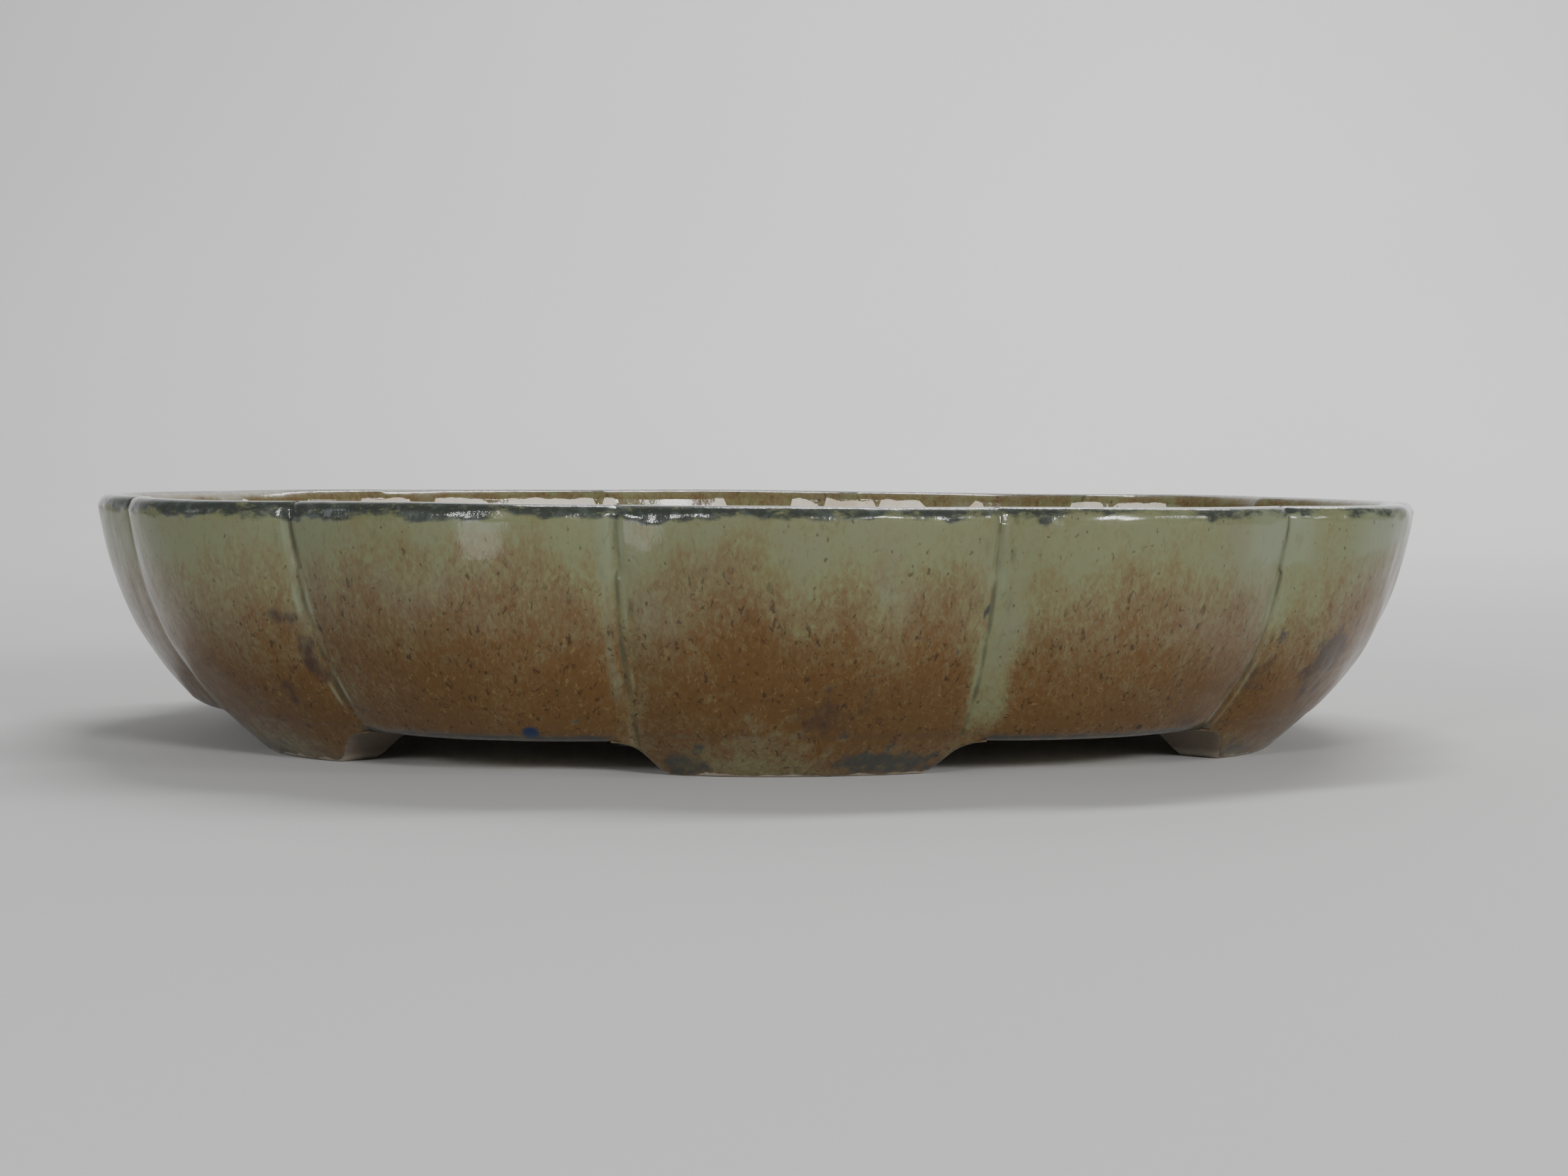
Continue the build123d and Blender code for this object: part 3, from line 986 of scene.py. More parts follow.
def wall_profile():
    """The wall's closed section as rows (scale x, scale y, z), with a round and with a square edge.

    Returns both, and each row's part: edge, side, rim, inside, fillet, seam or under.
    """
    edge_top = WALL_BASE + EDGE_ROUND
    edge = arc_rows((EDGE_ROUND, WALL_BASE), (0, edge_top), EDGE_ROUND, edge_top, 8)
    corner = np.concatenate([
        straight_rows((EDGE_ROUND, WALL_BASE), (0, WALL_BASE), EDGE_ROUND / 4),
        straight_rows((0, WALL_BASE), (0, edge_top), EDGE_ROUND / 4),
    ])
    side_top = RIM_TOP - RIM_OUTER
    fine_from = side_top - 7 * MM
    side = np.concatenate([
        straight_rows((0, edge_top), (0, fine_from), 1.2 * MM),
        straight_rows((0, fine_from), (0, side_top), 0.42 * MM),
    ])
    crown_in = WALL_AT_RIM - RIM_INNER
    inner_top, inner_mid, inner_low = RIM_TOP - RIM_INNER, RIM_TOP - 13 * MM, SLAB_TOP + FILLET
    rim = np.concatenate([
        arc_rows((0, side_top), (RIM_OUTER, RIM_TOP), RIM_OUTER, side_top, 9),
        straight_rows((RIM_OUTER, RIM_TOP), (crown_in, RIM_TOP), 0.7 * MM),
        arc_rows((crown_in, RIM_TOP), (WALL_AT_RIM, inner_top), crown_in, inner_top, 8),
    ])
    heights = np.concatenate([
        np.linspace(inner_top, inner_mid, 23)[:-1],
        np.linspace(inner_mid, inner_low, 15)[:-1],
    ])
    inside = np.stack([inner_inset(heights), heights], 1)
    runs = {"edge": edge, "side": side, "rim": rim, "inside": inside}
    rows = {
        part: np.concatenate([ring_scale(run[:, 1], run[:, 0]), run[:, 1:]], 1)
        for part, run in runs.items()
    }

    top = np.append(ring_scale(np.array(inner_low), inner_inset(inner_low)), inner_low)
    bend = np.append(ring_scale(np.array(SLAB_TOP), inner_inset(SLAB_TOP)), SLAB_TOP)
    seam_top = np.append(SEAM_SCALE, SLAB_TOP)
    seam_base = np.append(SEAM_SCALE, WALL_BASE)
    edge_start = np.append(ring_scale(np.array(WALL_BASE), np.array(EDGE_ROUND)), WALL_BASE)
    share = np.linspace(0, 1, 9)[:-1, None]
    rows["fillet"] = (1 - share) ** 2 * top + 2 * share * (1 - share) * bend + share**2 * seam_top
    rows["seam"] = seam_top + np.linspace(0, 1, 4)[:-1, None] * (seam_base - seam_top)
    rows["under"] = seam_base + np.linspace(0, 1, 6)[:-1, None] * (edge_start - seam_base)

    rounded = np.concatenate(list(rows.values()))
    square = rounded.copy()
    square[: len(corner), :2] = ring_scale(corner[:, 1], corner[:, 0])
    square[: len(corner), 2] = corner[:, 1]
    return rounded, square, np.repeat(list(rows), [len(run) for run in rows.values()])


def foot_axes(degrees):
    """Middle, direction along and direction outwards of the lobe that a foot carries, and its chord."""
    gaps = sorted(all_groove_degrees(), key=lambda a: abs((a - degrees + 180) % 360 - 180))[:2]
    start, end = [groove_point(a) * plan_scale(WALL_BASE) for a in gaps]
    along = (end - start) / np.linalg.norm(end - start)
    outward = np.array([along[1], -along[0]])
    if outward @ (start + end) < 0:
        along, outward = -along, -outward
    return (start + end) / 2, along, outward, np.linalg.norm(end - start)


def foot_half_top(name, chord):
    """Half a foot's width where it meets the wall."""
    return chord / 2 + (LONG_SIDE_OVERHANG if name in LONG_SIDE_FEET else 0)


def foot_cover(points):
    """1 where a foot is under the wall's lower edge, 0 between the feet."""
    cover = np.zeros(len(points))
    for name, degrees in FOOT_DEGREES.items():
        middle, along, outward, chord = foot_axes(degrees)
        offset = points[:, :2] - middle
        u, v = offset @ along, offset @ outward
        half = foot_half_top(name, chord)
        near = smooth(half + 1.5 * MM, half - 3.5 * MM, np.abs(u)) * (v > -60 * MM)
        cover = np.maximum(cover, near * ((points[:, :2] @ outward) > 0))
    return cover


def grown_wall(material, columns, rows):
    """The wall's mesh, and for each point its place on the rim's outline and its row of the section."""
    theta = column_angles(columns)
    outline = rim_radius(theta)[:, None] * np.stack([np.cos(theta), np.sin(theta)], 1)
    guides = {
        "Outline": guide_object("outline_guide", np.column_stack([outline, np.ones(len(outline))])),
        "Profile": guide_object("profile_guide", rows),
    }
    counts = {"Around": len(theta), "Along": len(rows)}
    values = {**guides, **counts, "Merge Distance": MERGE_DISTANCE, "Material": material}
    mesh = grown_mesh(shell_tree(), "pot_wall_glazed", values)
    for guide in guides.values():
        bpy.data.objects.remove(guide)
    numbers = {}
    for label in ("column", "row"):
        stored = np.empty(len(mesh.vertices), np.float32)
        mesh.attributes[label].data.foreach_get("value", stored)
        mesh.attributes.remove(mesh.attributes[label])
        numbers[label] = np.rint(stored).astype(int)
    return mesh, outline[numbers["column"]], numbers["row"]


def pressed_by_hand(points, on_rim, part, cut_share, surface):
    """The wall's points moved off their rule: a hand's wobble, a cut line in each groove, a waving rim."""
    above_slab = smooth(SLAB_TOP, SLAB_TOP + SLAB_HOLD, points[:, 2])
    share_out = np.hypot(*(points[:, :2] / on_rim).T) / math.sqrt(2)
    under_share = smooth(SEAM_SCALE.mean(), plan_scale(WALL_BASE), share_out)
    free = np.select(
        [np.isin(part, ("inside", "fillet")), part == "seam", part == "under"],
        [above_slab, 0.0, under_share],
        1.0,
    )
    pressed = push_outwards(points, hand_wobble(points, surface.wobble) * free)
    cut = surface.furrow * bell(groove_gap(polar(points)), FURROW_WIDTH)
    pressed = push_outwards(pressed, -cut * cut_share)
    near_rim = smooth(RIM_TOP - RIM_SWAY, RIM_TOP, points[:, 2])
    lift = surface.rim_wave * waves(points, 85 * MM, 13) * near_rim
    pressed[:, 2] += lift - RIM_SINK * near_rim
    return pressed


def wall_glaze_mm(points, part, outside, cover):
    """How far each point is inside the glaze's edge, in millimetres, and less than 0 on bare clay."""
    below = (RIM_TOP - points[:, 2]) / MM
    ragged_edge = (points[:, 2] - WALL_BASE) / MM + 0.6 + 0.4 * waves(points, 8 * MM, 51)
    bare_edge = (part == "edge") & (cover <= 0.5)
    joint = np.isin(part, ("seam", "fillet"))
    return np.select(
        [bare_edge, outside, joint, part == "under"],
        [ragged_edge, WELL_GLAZED_MM, -WELL_GLAZED_MM, UNDER_GLAZE_MM],
        glaze_limit_inside(points) - below,
    )


def wall_glaze_thickness(points, part, outside, off_feet, glaze_mm, surface):
    """How thick the glaze stands on each point: a roll under the rim and a thin coat inside."""
    below = (RIM_TOP - points[:, 2]) / MM
    roll_start = 1.5 + 0.9 * waves(points, 14 * MM, 52) + 0.5 * waves(points, 5 * MM, 53)
    roll = smooth(roll_start, roll_start + 2.5, below) * (0.35 + 0.65 * smooth(20, 4, below))
    outer_coat = surface.glaze_roll * roll * np.isin(part, ("side", "rim"))
    inner_coat = INNER_COAT * smooth(0, 0.9, glaze_mm) * smooth(1.0, 3.4, below)
    thickness = np.where(outside, outer_coat, inner_coat * np.isin(part, ("rim", "inside")))
    ripple = surface.glaze_ripple * waves(points, 8 * MM, 54, squeeze=(1, 1, 0.5))
    return thickness * off_feet + ripple * (part == "side")


def wall_fields(points, part, outside, cover, glaze_mm):
    """The glaze's fields on the wall: the pattern outside, an even olive inside, slate at the edge, and
    painted shade on the bare clay underneath.
    """
    fields = glaze_pattern(points)
    crown = smooth(RIM_TOP - 1.6 * MM, RIM_TOP - 0.2 * MM, points[:, 2])
    within = {"rust": 0.34 + 0.16 * waves(points, 9 * MM, 55), "thin": 0.60 * crown}
    for name in ("rust", "thin", "pool_and_sheen", "dark", "slate"):
        fields[name] = np.where(outside, fields[name], within.get(name, 0.0))
    low_edge = smooth(WALL_BASE + 2.6 * MM, WALL_BASE + 0.8 * MM, points[:, 2]) * (1 - cover)
    fields["slate"] = np.maximum(fields["slate"], 0.95 * low_edge)
    fields["glaze_mm"] = glaze_mm
    # Painted shade with a grey-brown smear on the bare clay under the wall
    fields["shade_and_smear"] = np.where(part == "under", 0.6, 0.0)
    return fields


def build_wall(material, surface):
    """The glazed wall: the rule gives its shell, then hand wobble and the glaze's own thickness."""
    rows, square_rows, parts = wall_profile()
    mesh, on_rim, row = grown_wall(material, surface.columns, rows)
    part = parts[row]
    points = mesh_points(mesh)
    cover = foot_cover(points)
    square = np.column_stack([on_rim * square_rows[row, :2], square_rows[row, 2]])
    points = points + (square - points) * cover[:, None]

    off_feet = 1 - cover * smooth(WALL_BASE + 3 * MM, WALL_BASE, points[:, 2])
    past_crest = rows[row, 0] > RIM_CREST_SCALE
    outside = np.isin(part, ("edge", "side")) | ((part == "rim") & past_crest)
    cut_share = np.isin(part, ("side", "rim")) * off_feet * past_crest
    set_points(mesh, pressed_by_hand(points, on_rim, part, cut_share, surface))
    tidy_shell(mesh, 40)

    glaze_mm = wall_glaze_mm(points, part, outside, cover)
    thickness = wall_glaze_thickness(points, part, outside, off_feet, glaze_mm, surface)
    set_points(mesh, mesh_points(mesh) + mesh_normals(mesh) * thickness[:, None])
    write_fields(mesh, wall_fields(points, part, outside, cover, glaze_mm))
    join_to_pot(new_object("glazed_wall", mesh), "glazed_stoneware", "pot_wall")


# ---------------------------------------------------------------- the feet


def foot_underside(u, half_top):
    """Height of a foot's lower edge along its width: flat, then sweeping up into the wall at each end."""
    run, rise = FOOT_END_RUN, WALL_BASE - SHOULDER
    t = np.linspace(0, 1, 200)
    slope_run, slope_rise = FOOT_END_SLOPE
    corners = np.array([
        (0, 0), (slope_run * run, slope_rise * rise), (FOOT_END_LEVEL * run, rise), (run, rise),
    ])
    weights = np.stack([(1 - t) ** 3, 3 * t * (1 - t) ** 2, 3 * t * t * (1 - t), t**3])
    curve = weights.T @ corners
    return np.interp(np.abs(u) - (half_top - run), curve[:, 0], curve[:, 1])


def reach_outline(origin, outward, scale):
    """How far outwards each point goes before it meets the outline at a scale."""
    low, high = [np.full(len(origin), limit) for limit in FOOT_REACH]
    for _ in range(36):
        middle = (low + high) / 2
        p = (origin + outward * middle[:, None]) / scale
        inside = np.hypot(*p.T) < rim_radius(polar(p))
        low, high = np.where(inside, middle, low), np.where(inside, high, middle)
    return (low + high) / 2


def foot_sections(u, base, origin, outward):
    """A foot's closed sections across its width, as rows (reach outwards, z), and each row's kind.

    The kinds are edge, outer, hidden (a tongue inside the wall), inner and under.
    """
    height = WALL_BASE - base
    edge = np.minimum(FOOT_EDGE, 0.45 * height)
    sweep = np.radians(np.linspace(0, 90, 6))

    def outer(z):
        return reach_outline(origin, outward, np.repeat(plan_scale(z)[:, None], 2, axis=1))

    inner_scale = ring_scale(np.array(0.0), np.array(FOOT_THICKNESS))
    inner = reach_outline(origin, outward, np.repeat(inner_scale[None], len(u), 0))
    rows, kinds = [], []

    def add(reach, z, kind):
        rows.append((reach, z))
        kinds.append(kind)

    for turn in sweep:
        z = base + edge * (1 - math.cos(turn))
        add(outer(z) - edge * (1 - math.sin(turn)), z, "edge" if turn < sweep[-1] else "outer")
    for share in np.linspace(0, 1, 12)[1:]:
        z = base + edge + (height - edge) * share
        add(outer(z), z, "outer")
    tongue_out = outer(np.full(len(u), WALL_BASE)) - TONGUE_INSET
    tongue_in = inner + TONGUE_INSET
    for reach, z in (
        (tongue_out, WALL_BASE), (tongue_out, WALL_BASE + TONGUE),
        (tongue_in, WALL_BASE + TONGUE), (tongue_in, WALL_BASE),
    ):
        add(reach, np.full(len(u), z), "hidden")
    for share in np.linspace(1, 0, 6):
        add(inner, base + edge + (height - edge) * share, "inner")
    for turn in sweep[::-1][1:]:
        add(inner + edge * (1 - math.sin(turn)), base + edge * (1 - math.cos(turn)), "inner")
    first, last = rows[0][0], rows[-1][0]
    for share in np.linspace(0, 1, 8)[1:-1]:
        add(last + (first - last) * share, base.copy(), "under")
    return rows, kinds


def build_foot(name, degrees, material, surface):
    """A foot: the lobe's surface carried down to the base, glazed outside and bare at its ends."""
    middle, along, outward, chord = foot_axes(degrees)
    half_top = foot_half_top(name, chord)
    half_base = half_top - FOOT_END_RUN
    ends = np.linspace(half_base, half_top, 30)
    flat = np.linspace(-half_base, half_base, 46)[1:-1]
    u = np.concatenate([-ends[::-1], flat, ends])
    base = foot_underside(u, half_top)
    origin = middle + along * u[:, None]
    rows, kinds = foot_sections(u, base, origin, outward)

    count = len(rows)
    reach = np.stack([row[0] for row in rows], 1)
    z = np.stack([row[1] for row in rows], 1)
    xy = origin[:, None] + outward * reach[..., None]
    points = np.concatenate([xy, z[..., None]], -1).reshape(-1, 3)
    kind = np.array(kinds * len(u))
    faces = []
    for i in range(0, (len(u) - 1) * count, count):
        for j in range(count):
            k = (j + 1) % count
            faces.append((i + j, i + count + j, i + count + k, i + k))
    faces.append(tuple(range(count)))
    faces.append(tuple(reversed(range((len(u) - 1) * count, len(u) * count))))
    mesh = bpy.data.meshes.new(f"{name}_glazed")
    mesh.from_pydata(points.tolist(), [], faces)
    mesh.materials.append(material)

    follows_wall = np.where(np.isin(kind, ("outer", "edge", "hidden")), 1.0, 0.0)
    moved = push_outwards(points, hand_wobble(points, surface.wobble) * follows_wall)
    dents = FOOT_DENTS * waves(points, 7 * MM, 61) * smooth(1 * MM, 4 * MM, points[:, 2])
    moved[:, 2] += np.abs(np.where(kind == "under", dents, 0))
    set_points(mesh, moved)
    tidy_shell(mesh, 50)

    base_at = np.repeat(base, count)
    flat_here = smooth(1.0 * MM, 0.2 * MM, base_at)
    wiped = 0.55 + 0.45 * waves(points, 11 * MM, 62) + 0.3 * waves(points, 3.5 * MM, 63)
    above_line = (points[:, 2] - base_at) / MM - (0.15 + flat_here * wiped)
    fields = glaze_pattern(points)
    fields["glaze_mm"] = np.select(
        [np.isin(kind, ("outer", "edge")), kind == "hidden"], [above_line, 5.0], -5.0
    )
    # Painted shade with a grey-brown smear on the foot's bare clay, stronger where its underside sweeps up
    fields["shade_and_smear"] = 0.62 + 0.34 * smooth(0.5 * MM, 3 * MM, base_at)
    write_fields(mesh, fields)
    join_to_pot(new_object(f"glazed_{name}", mesh), "glazed_stoneware", name)


# ---------------------------------------------------------------- screens and clips


def build_screen(side, tree, material):
    """A moulded mesh square that lies over one drainage hole."""
    low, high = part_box(f"drain_screen_{side}")
    strand = high.x - low.x - MESH_COUNT * MESH_PITCH
    mesh = grown_mesh(
        tree, f"moulded_screen_{side}",
        {"Pitch": MESH_PITCH, "Count": MESH_COUNT, "Strand Width": strand, "Thickness": high.z - low.z,
         "Material": material},
    )
    mesh.transform(Matrix.Translation((low + high) / 2))
    screen = new_object(f"moulded_screen_{side}", mesh)
    join_to_pot(screen, "mesh_plastic", f"drain_screen_{side}")


def build_clip(side, tree, material):
    """A wire clip: a loop over each side of the screen, legs through the hole, tails under the floor."""
    low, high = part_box(f"screen_clip_{side}")
    middle_x = (low.x + high.x) / 2
    top, under = high.z - CLIP_DIAMETER / 2, low.z + CLIP_DIAMETER / 2
    half = CLIP_LOOP_WIDTH / 2
    one_side = [
        (CLIP_LOOP_START, half, top), (CLIP_LOOP_END, half, top), (CLIP_LOOP_END, -half, top),
        (CLIP_LOOP_START, -half, top), (CLIP_LEG, 0, top), (CLIP_LEG, 0, under), (CLIP_TAIL, 0, under),
    ]
    corners = [(-x, -y, z) for x, y, z in reversed(one_side)] + one_side
    loop = [CLIP_NECK_BEND, CLIP_LOOP_BEND, CLIP_LOOP_BEND, CLIP_NECK_BEND]
    one_side_bends = loop + [CLIP_LEG_BEND, CLIP_LEG_BEND]
    bends = [0.0] + one_side_bends[::-1] + one_side_bends + [0.0]
    path = guide_object(
        f"clip_path_{side}", [(x + middle_x, y, z) for x, y, z in corners],
        [(i, i + 1) for i in range(len(corners) - 1)],
    )
    write_fields(path.data, {"bend": bends})
    mesh = grown_mesh(
        tree, f"wire_clip_{side}", {"Path": path, "Diameter": CLIP_DIAMETER, "Material": material}
    )
    bpy.data.objects.remove(path)
    tidy_shell(mesh, 50)
    clip = new_object(f"wire_clip_{side}", mesh)
    join_to_pot(clip, "clip_wire", f"screen_clip_{side}")


# ---------------------------------------------------------------- the stage

CAMERA_PLACE = Vector((-0.0557, -0.7077, 0.0780))
CAMERA_YAW = 0.0875
CAMERA_PITCH = -0.0528
CAMERA_ROLL = 0.0071
CAMERA_LENS_MM = 55.33
CAMERA_SENSOR_MM = 36.0


def build_camera():
    """The camera, a little left of the pot's middle and just above its rim."""
    ahead = Vector((
        math.sin(CAMERA_YAW) * math.cos(CAMERA_PITCH),
        math.cos(CAMERA_YAW) * math.cos(CAMERA_PITCH),
        math.sin(CAMERA_PITCH),
    ))
    level = Vector((math.cos(CAMERA_YAW), -math.sin(CAMERA_YAW), 0))
    upright = level.cross(ahead)
    right = level * math.cos(CAMERA_ROLL) + upright * math.sin(CAMERA_ROLL)
    up = upright * math.cos(CAMERA_ROLL) - level * math.sin(CAMERA_ROLL)
    data = bpy.data.cameras.new("studio_camera")
    data.lens = CAMERA_LENS_MM
    data.sensor_width = CAMERA_SENSOR_MM
    data.clip_start = 0.01
    camera = bpy.data.objects.new("studio_camera", data)
    bpy.context.scene.collection.objects.link(camera)
    turn = Matrix((right, up, -ahead)).transposed().to_4x4()
    camera.matrix_world = Matrix.Translation(CAMERA_PLACE) @ turn
    bpy.context.scene.camera = camera


def soft_light(name, place, size, power, colour=(1, 1, 1), aim=(0, 0, 0.04)):
    """A rectangular area light aimed at a point."""
    data = bpy.data.lights.new(name, "AREA")
    data.shape = "RECTANGLE"
    data.size, data.size_y = size
    data.energy = power
    data.color = colour
    light = bpy.data.objects.new(name, data)
    bpy.context.scene.collection.objects.link(light)
    light.location = place
    light.rotation_euler = (Vector(aim) - Vector(place)).to_track_quat("-Z", "Y").to_euler()
    light.visible_camera = False
    return light


def build_sweep(material):
    """The pale floor, running back and curving up into the backdrop."""
    half_width, front, bend_start, bend, height = 9.0, -7.0, 1.6, 0.9, 3.2
    turns = np.linspace(0, math.pi / 2, 25)
    curve = [(bend_start + bend * math.sin(a), bend * (1 - math.cos(a))) for a in turns]
    profile = [(front, 0.0), *curve, (bend_start + bend, height)]
    points = [(x, y, z) for y, z in profile for x in (-half_width, half_width)]
    faces = [(2 * i, 2 * i + 1, 2 * i + 3, 2 * i + 2) for i in range(len(profile) - 1)]
    mesh = bpy.data.meshes.new("studio_sweep")
    mesh.from_pydata(points, [], faces)
    mesh.shade_smooth()
    sweep = new_object("studio_sweep", mesh, material)


# ---------------------------------------------------------------- settings, operators and panel


def colour_setting(name, description, default):
    """A colour that the user can change."""
    return FloatVectorProperty(
        name=name, description=description, subtype="COLOR", size=3, min=0, max=1, default=default
    )


def length_setting(name, description, default_mm, most_mm):
    """A length that the user can change."""
    return FloatProperty(
        name=name, description=description, default=default_mm * MM, min=0, max=most_mm * MM,
        unit="LENGTH",
    )


def power_setting(name, description, default, most):
    """A light's power that the user can change."""
    return FloatProperty(
        name=name, description=description, default=default, min=0, max=most, unit="POWER"
    )


class PotColours(bpy.types.PropertyGroup):
    """Colours of the glaze, the clay and the fittings."""

    green: colour_setting("Green", "Glaze where it runs thick under the rim", (0.150, 0.162, 0.082))
    olive: colour_setting("Olive", "Glaze at the start of the rust", (0.144, 0.126, 0.056))
    tan: colour_setting("Tan", "Glaze half way into the rust", (0.126, 0.093, 0.042))
    rust: colour_setting("Rust", "Glaze broken by iron", (0.116, 0.065, 0.022))
    deep_rust: colour_setting("Deep rust", "Iron low on the wall", (0.102, 0.052, 0.014))
    umber: colour_setting("Umber", "The darkest iron strokes", (0.030, 0.015, 0.005))
    gold: colour_setting("Gold", "Pale strokes in the rust", (0.190, 0.135, 0.055))
    veil: colour_setting("Veil", "Greyish milky clouds in the glaze", (0.160, 0.152, 0.112))
    # Pooled glaze, and also the pale painted reflection under the rim on the right
    celadon_and_sheen: colour_setting("Celadon", "Glaze pooled in the grooves", (0.178, 0.204, 0.130))
    purple: colour_setting("Purple brown", "Dark marks in the rust", (0.036, 0.022, 0.018))
    slate: colour_setting("Slate", "Blue-grey marks at the feet", (0.034, 0.040, 0.038))
    edge: colour_setting("Rim black", "Glaze worn thin on the rim", (0.022, 0.027, 0.024))
    edge_blue: colour_setting("Rim blue", "Blue-green breaks in the thin rim", (0.046, 0.058, 0.052))
    # The dark groove line is dark glaze with painted shade in the groove
    furrow: colour_setting("Furrow", "Dark line in each groove", (0.052, 0.050, 0.026))
    # Painted shade with a grey-brown smear on the bare clay under the wall and on the feet
    shade_and_smear_tint: colour_setting("Soot", "Clay stained dark under the feet", (0.16, 0.13, 0.10))
    cobalt: colour_setting("Cobalt", "A single blue spot", (0.007, 0.020, 0.060))
    clay: colour_setting("Clay", "Bare fired clay", (0.80, 0.76, 0.66))
    clay_toasted: colour_setting("Toasted clay", "Clay flashed warm in the kiln", (0.58, 0.47, 0.33))
    water_stain: colour_setting("Water stain", "Stain round the drain holes", (0.30, 0.23, 0.15))
    plastic: colour_setting("Plastic", "Drain screens", (0.020, 0.022, 0.020))
    dust: colour_setting("Dust", "Dust caught on the screens", (0.24, 0.21, 0.17))
    metal: colour_setting("Metal", "Aluminium wire", (0.62, 0.62, 0.63))
    oxide: colour_setting("Oxide", "Dull skin on the wire", (0.40, 0.40, 0.41))


class PotSurface(bpy.types.PropertyGroup):
    """How uneven the hand-made wall and its glaze are."""

    columns: IntProperty(
        name="Columns per lobe", description="How finely each lobe is divided",
        default=56, min=16, max=60,
    )
    wobble: length_setting("Hand wobble", "How far the wall strays from its rule", 0.50, 1.5)
    rim_wave: length_setting("Rim wave", "How far the rim rises and falls", 0.22, 1)
    furrow: length_setting("Furrow", "Depth of the line cut in each groove", 0.7, 1.5)
    glaze_roll: length_setting("Glaze roll", "Thickness of the glaze under the rim", 0.55, 1.0)
    glaze_ripple: length_setting("Glaze ripple", "Height of the ripples in the glaze", 0.035, 0.2)


class StudioSettings(bpy.types.PropertyGroup):
    """Lights and colour of the stage."""

    sweep: colour_setting("Sweep", "Floor and backdrop", (0.58, 0.58, 0.575))
    sky: colour_setting("Room", "Light from the whole room", (0.93, 0.96, 1.0))
    sky_strength: FloatProperty(
        name="Room strength", description="How bright the room is", default=0.20, min=0, max=3
    )
    key_power: power_setting("Key power", "The soft light at the right", 4.5, 200)
    fill_power: power_setting("Fill power", "The weak soft light at the left", 1.0, 200)
    window_power: power_setting(
        "Window power", "The left of the two front lights; the right one has twice as much", 9.0, 50
    )
    card_power: power_setting("Card power", "The small card whose glow shows under the rim", 0.011, 1)
    backdrop_power: power_setting("Backdrop power", "The light that lifts the backdrop", 110, 400)


def shared_finish(name, make):
    """A finish by its name, made the first time that a piece asks for it."""
    found = bpy.data.materials.get(name)
    return found or make(bpy.context.scene.pot_colours)


class BONSAIPOT_OT_wall(bpy.types.Operator):
    """Build the lobed wall with its rim and its glaze"""

    bl_idname = "bonsaipot.wall"
    bl_label = "Wall"

    def execute(self, context):
        build_wall(shared_finish("running_glaze", glaze_finish), context.scene.pot_surface)
        return {"FINISHED"}


class BONSAIPOT_OT_feet(bpy.types.Operator):
    """Build the six feet under every second lobe"""

    bl_idname = "bonsaipot.feet"
    bl_label = "Feet"

    def execute(self, context):
        material = shared_finish("running_glaze", glaze_finish)
        for name, degrees in FOOT_DEGREES.items():
            build_foot(name, degrees, material, context.scene.pot_surface)
        return {"FINISHED"}


class BONSAIPOT_OT_floor(bpy.types.Operator):
    """Finish the floor slab in bare clay"""

    bl_idname = "bonsaipot.floor"
    bl_label = "Floor"

    def execute(self, context):
        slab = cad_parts["floor_slab"]
        slab.data.materials.clear()
        slab.data.materials.append(shared_finish("trowelled_clay", bare_clay_finish))
        return {"FINISHED"}


class BONSAIPOT_OT_screens(bpy.types.Operator):
    """Build the moulded screens over the drainage holes"""

    bl_idname = "bonsaipot.screens"
    bl_label = "Drain Screens"

    def execute(self, context):
        tree = screen_tree()
        material = shared_finish("moulded_plastic", screen_finish)
        for side in ("left", "right"):
            build_screen(side, tree, material)
        return {"FINISHED"}


class BONSAIPOT_OT_clips(bpy.types.Operator):
    """Build the wire clips that hold the screens"""

    bl_idname = "bonsaipot.clips"
    bl_label = "Wire Clips"

    def execute(self, context):
        tree = wire_tree()
        material = shared_finish("drawn_wire", wire_finish)
        for side in ("left", "right"):
            build_clip(side, tree, material)
        return {"FINISHED"}


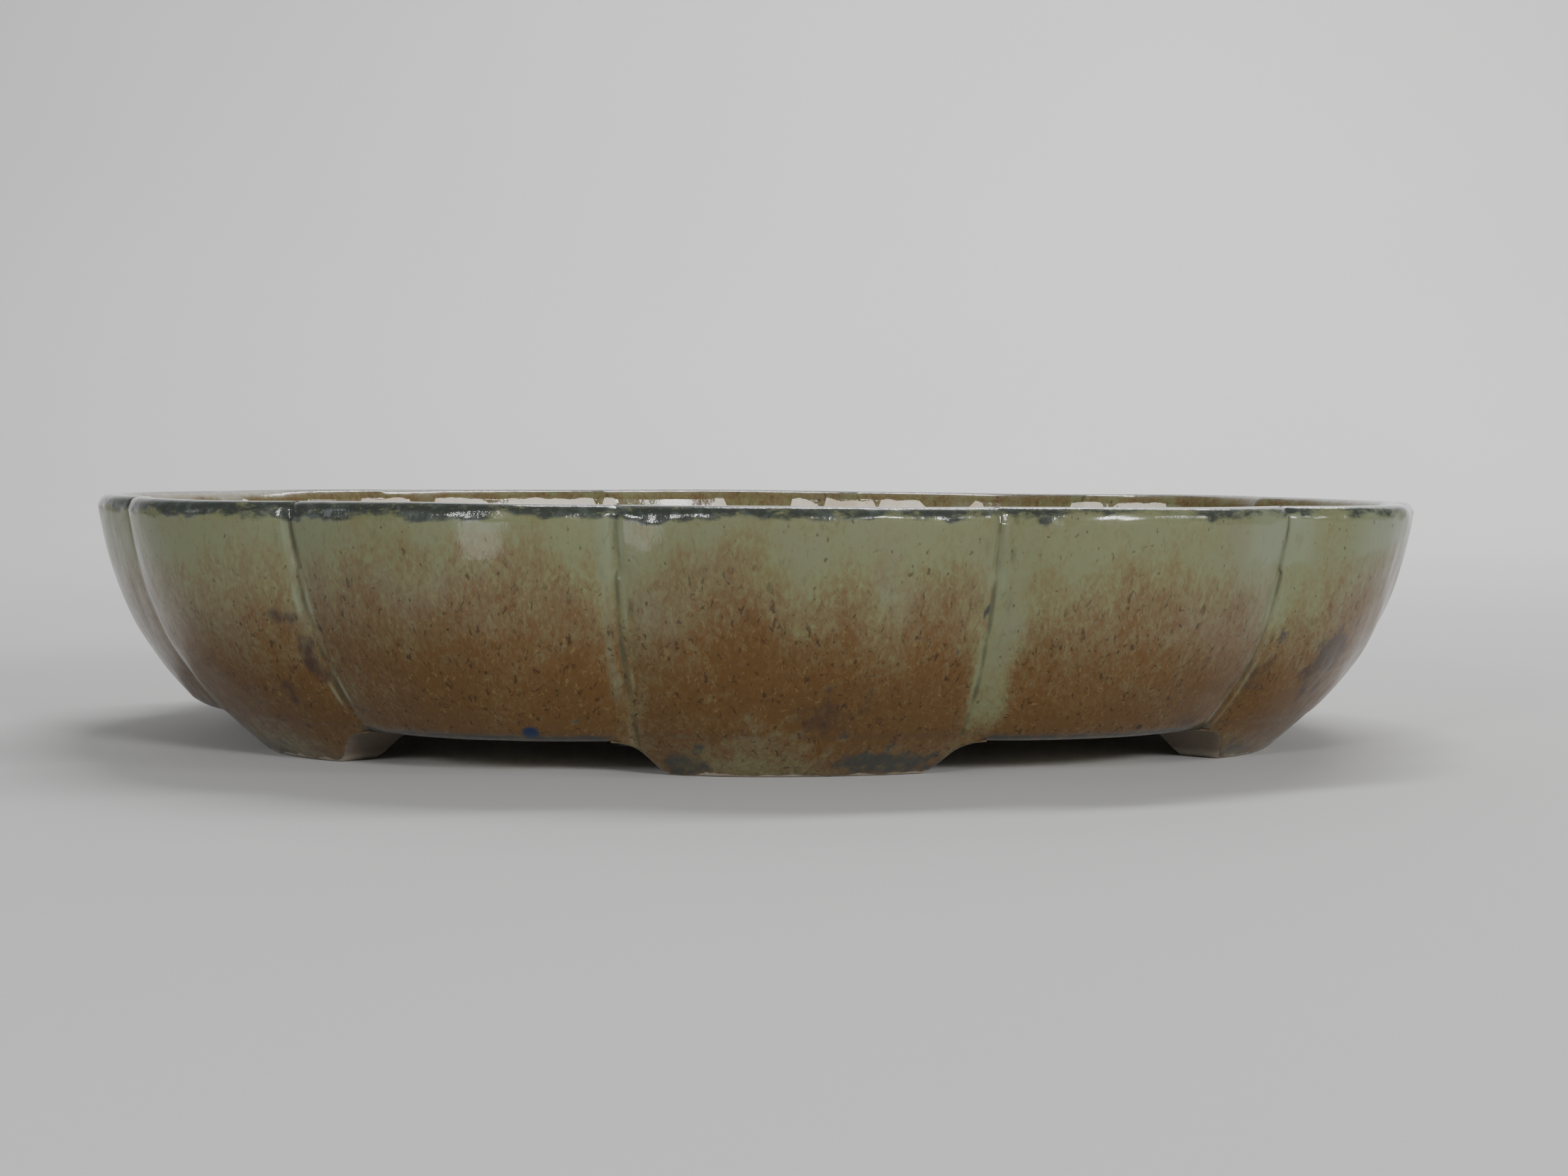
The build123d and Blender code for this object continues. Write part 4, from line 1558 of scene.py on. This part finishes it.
class BONSAIPOT_OT_stage(bpy.types.Operator):
    """Set the pale floor, the soft light and the camera"""

    bl_idname = "bonsaipot.stage"
    bl_label = "Stage"

    def execute(self, context):
        studio = context.scene.pot_studio
        build_sweep(stage_finish("pale_sweep", studio.sweep, 0.75))
        world = bpy.data.worlds.new("room")
        world.use_nodes = True
        room = world.node_tree.nodes["Background"]
        room.inputs["Color"].default_value = (*studio.sky, 1)
        room.inputs["Strength"].default_value = studio.sky_strength
        context.scene.world = world
        soft_light("key", (1.55, -0.95, 0.85), (0.32, 0.50), studio.key_power, (1.0, 0.98, 0.95))
        soft_light("fill", (-1.75, -0.25, 0.55), (0.30, 0.50), studio.fill_power, (0.88, 0.94, 1.0))
        soft_light("window_left", (-0.90, -1.50, 0.66), (0.20, 0.26), studio.window_power)
        soft_light("window_right", (0.78, -1.60, 0.68), (0.42, 0.26), 2.0 * studio.window_power)
        card = soft_light(
            "low_card", (-0.124, -0.238, 0.024), (0.034, 0.036), studio.card_power,
            aim=(-0.06, 0, 0.055),
        )
        card.visible_diffuse = False
        soft_light(
            "backdrop_light", (0.9, 1.4, 2.6), (2.4, 0.6), studio.backdrop_power, aim=(0.5, 2.5, 0.6)
        )
        build_camera()
        return {"FINISHED"}


STEPS = (
    BONSAIPOT_OT_stage, BONSAIPOT_OT_wall, BONSAIPOT_OT_feet, BONSAIPOT_OT_floor,
    BONSAIPOT_OT_screens, BONSAIPOT_OT_clips,
)


class BONSAIPOT_PT_sidebar(bpy.types.Panel):
    """Lists the pot's pieces and their settings"""

    bl_idname = "BONSAIPOT_PT_sidebar"
    bl_label = "Bonsai Pot"
    bl_space_type = "VIEW_3D"
    bl_region_type = "UI"
    bl_category = "Bonsai Pot"

    def draw(self, context):
        for step in STEPS:
            self.layout.operator(step.bl_idname)
        for label, group in SETTINGS.items():
            settings = getattr(context.scene, label)
            for name in group.__annotations__:
                self.layout.prop(settings, name)


SETTINGS = {"pot_surface": PotSurface, "pot_colours": PotColours, "pot_studio": StudioSettings}
CLASSES = (*SETTINGS.values(), *STEPS, BONSAIPOT_PT_sidebar)


def register():
    """Registers the settings, the operators and the panel."""
    for cls in CLASSES:
        bpy.utils.register_class(cls)
    for label, group in SETTINGS.items():
        setattr(bpy.types.Scene, label, PointerProperty(type=group))


def unregister():
    """Takes them all out again."""
    for label in SETTINGS:
        delattr(bpy.types.Scene, label)
    for cls in reversed(CLASSES):
        bpy.utils.unregister_class(cls)


def main():
    """Builds everything."""
    register()
    for step in STEPS:
        group, name = step.bl_idname.split(".")
        getattr(getattr(bpy.ops, group), name)()


if __name__ == "__main__":
    main()
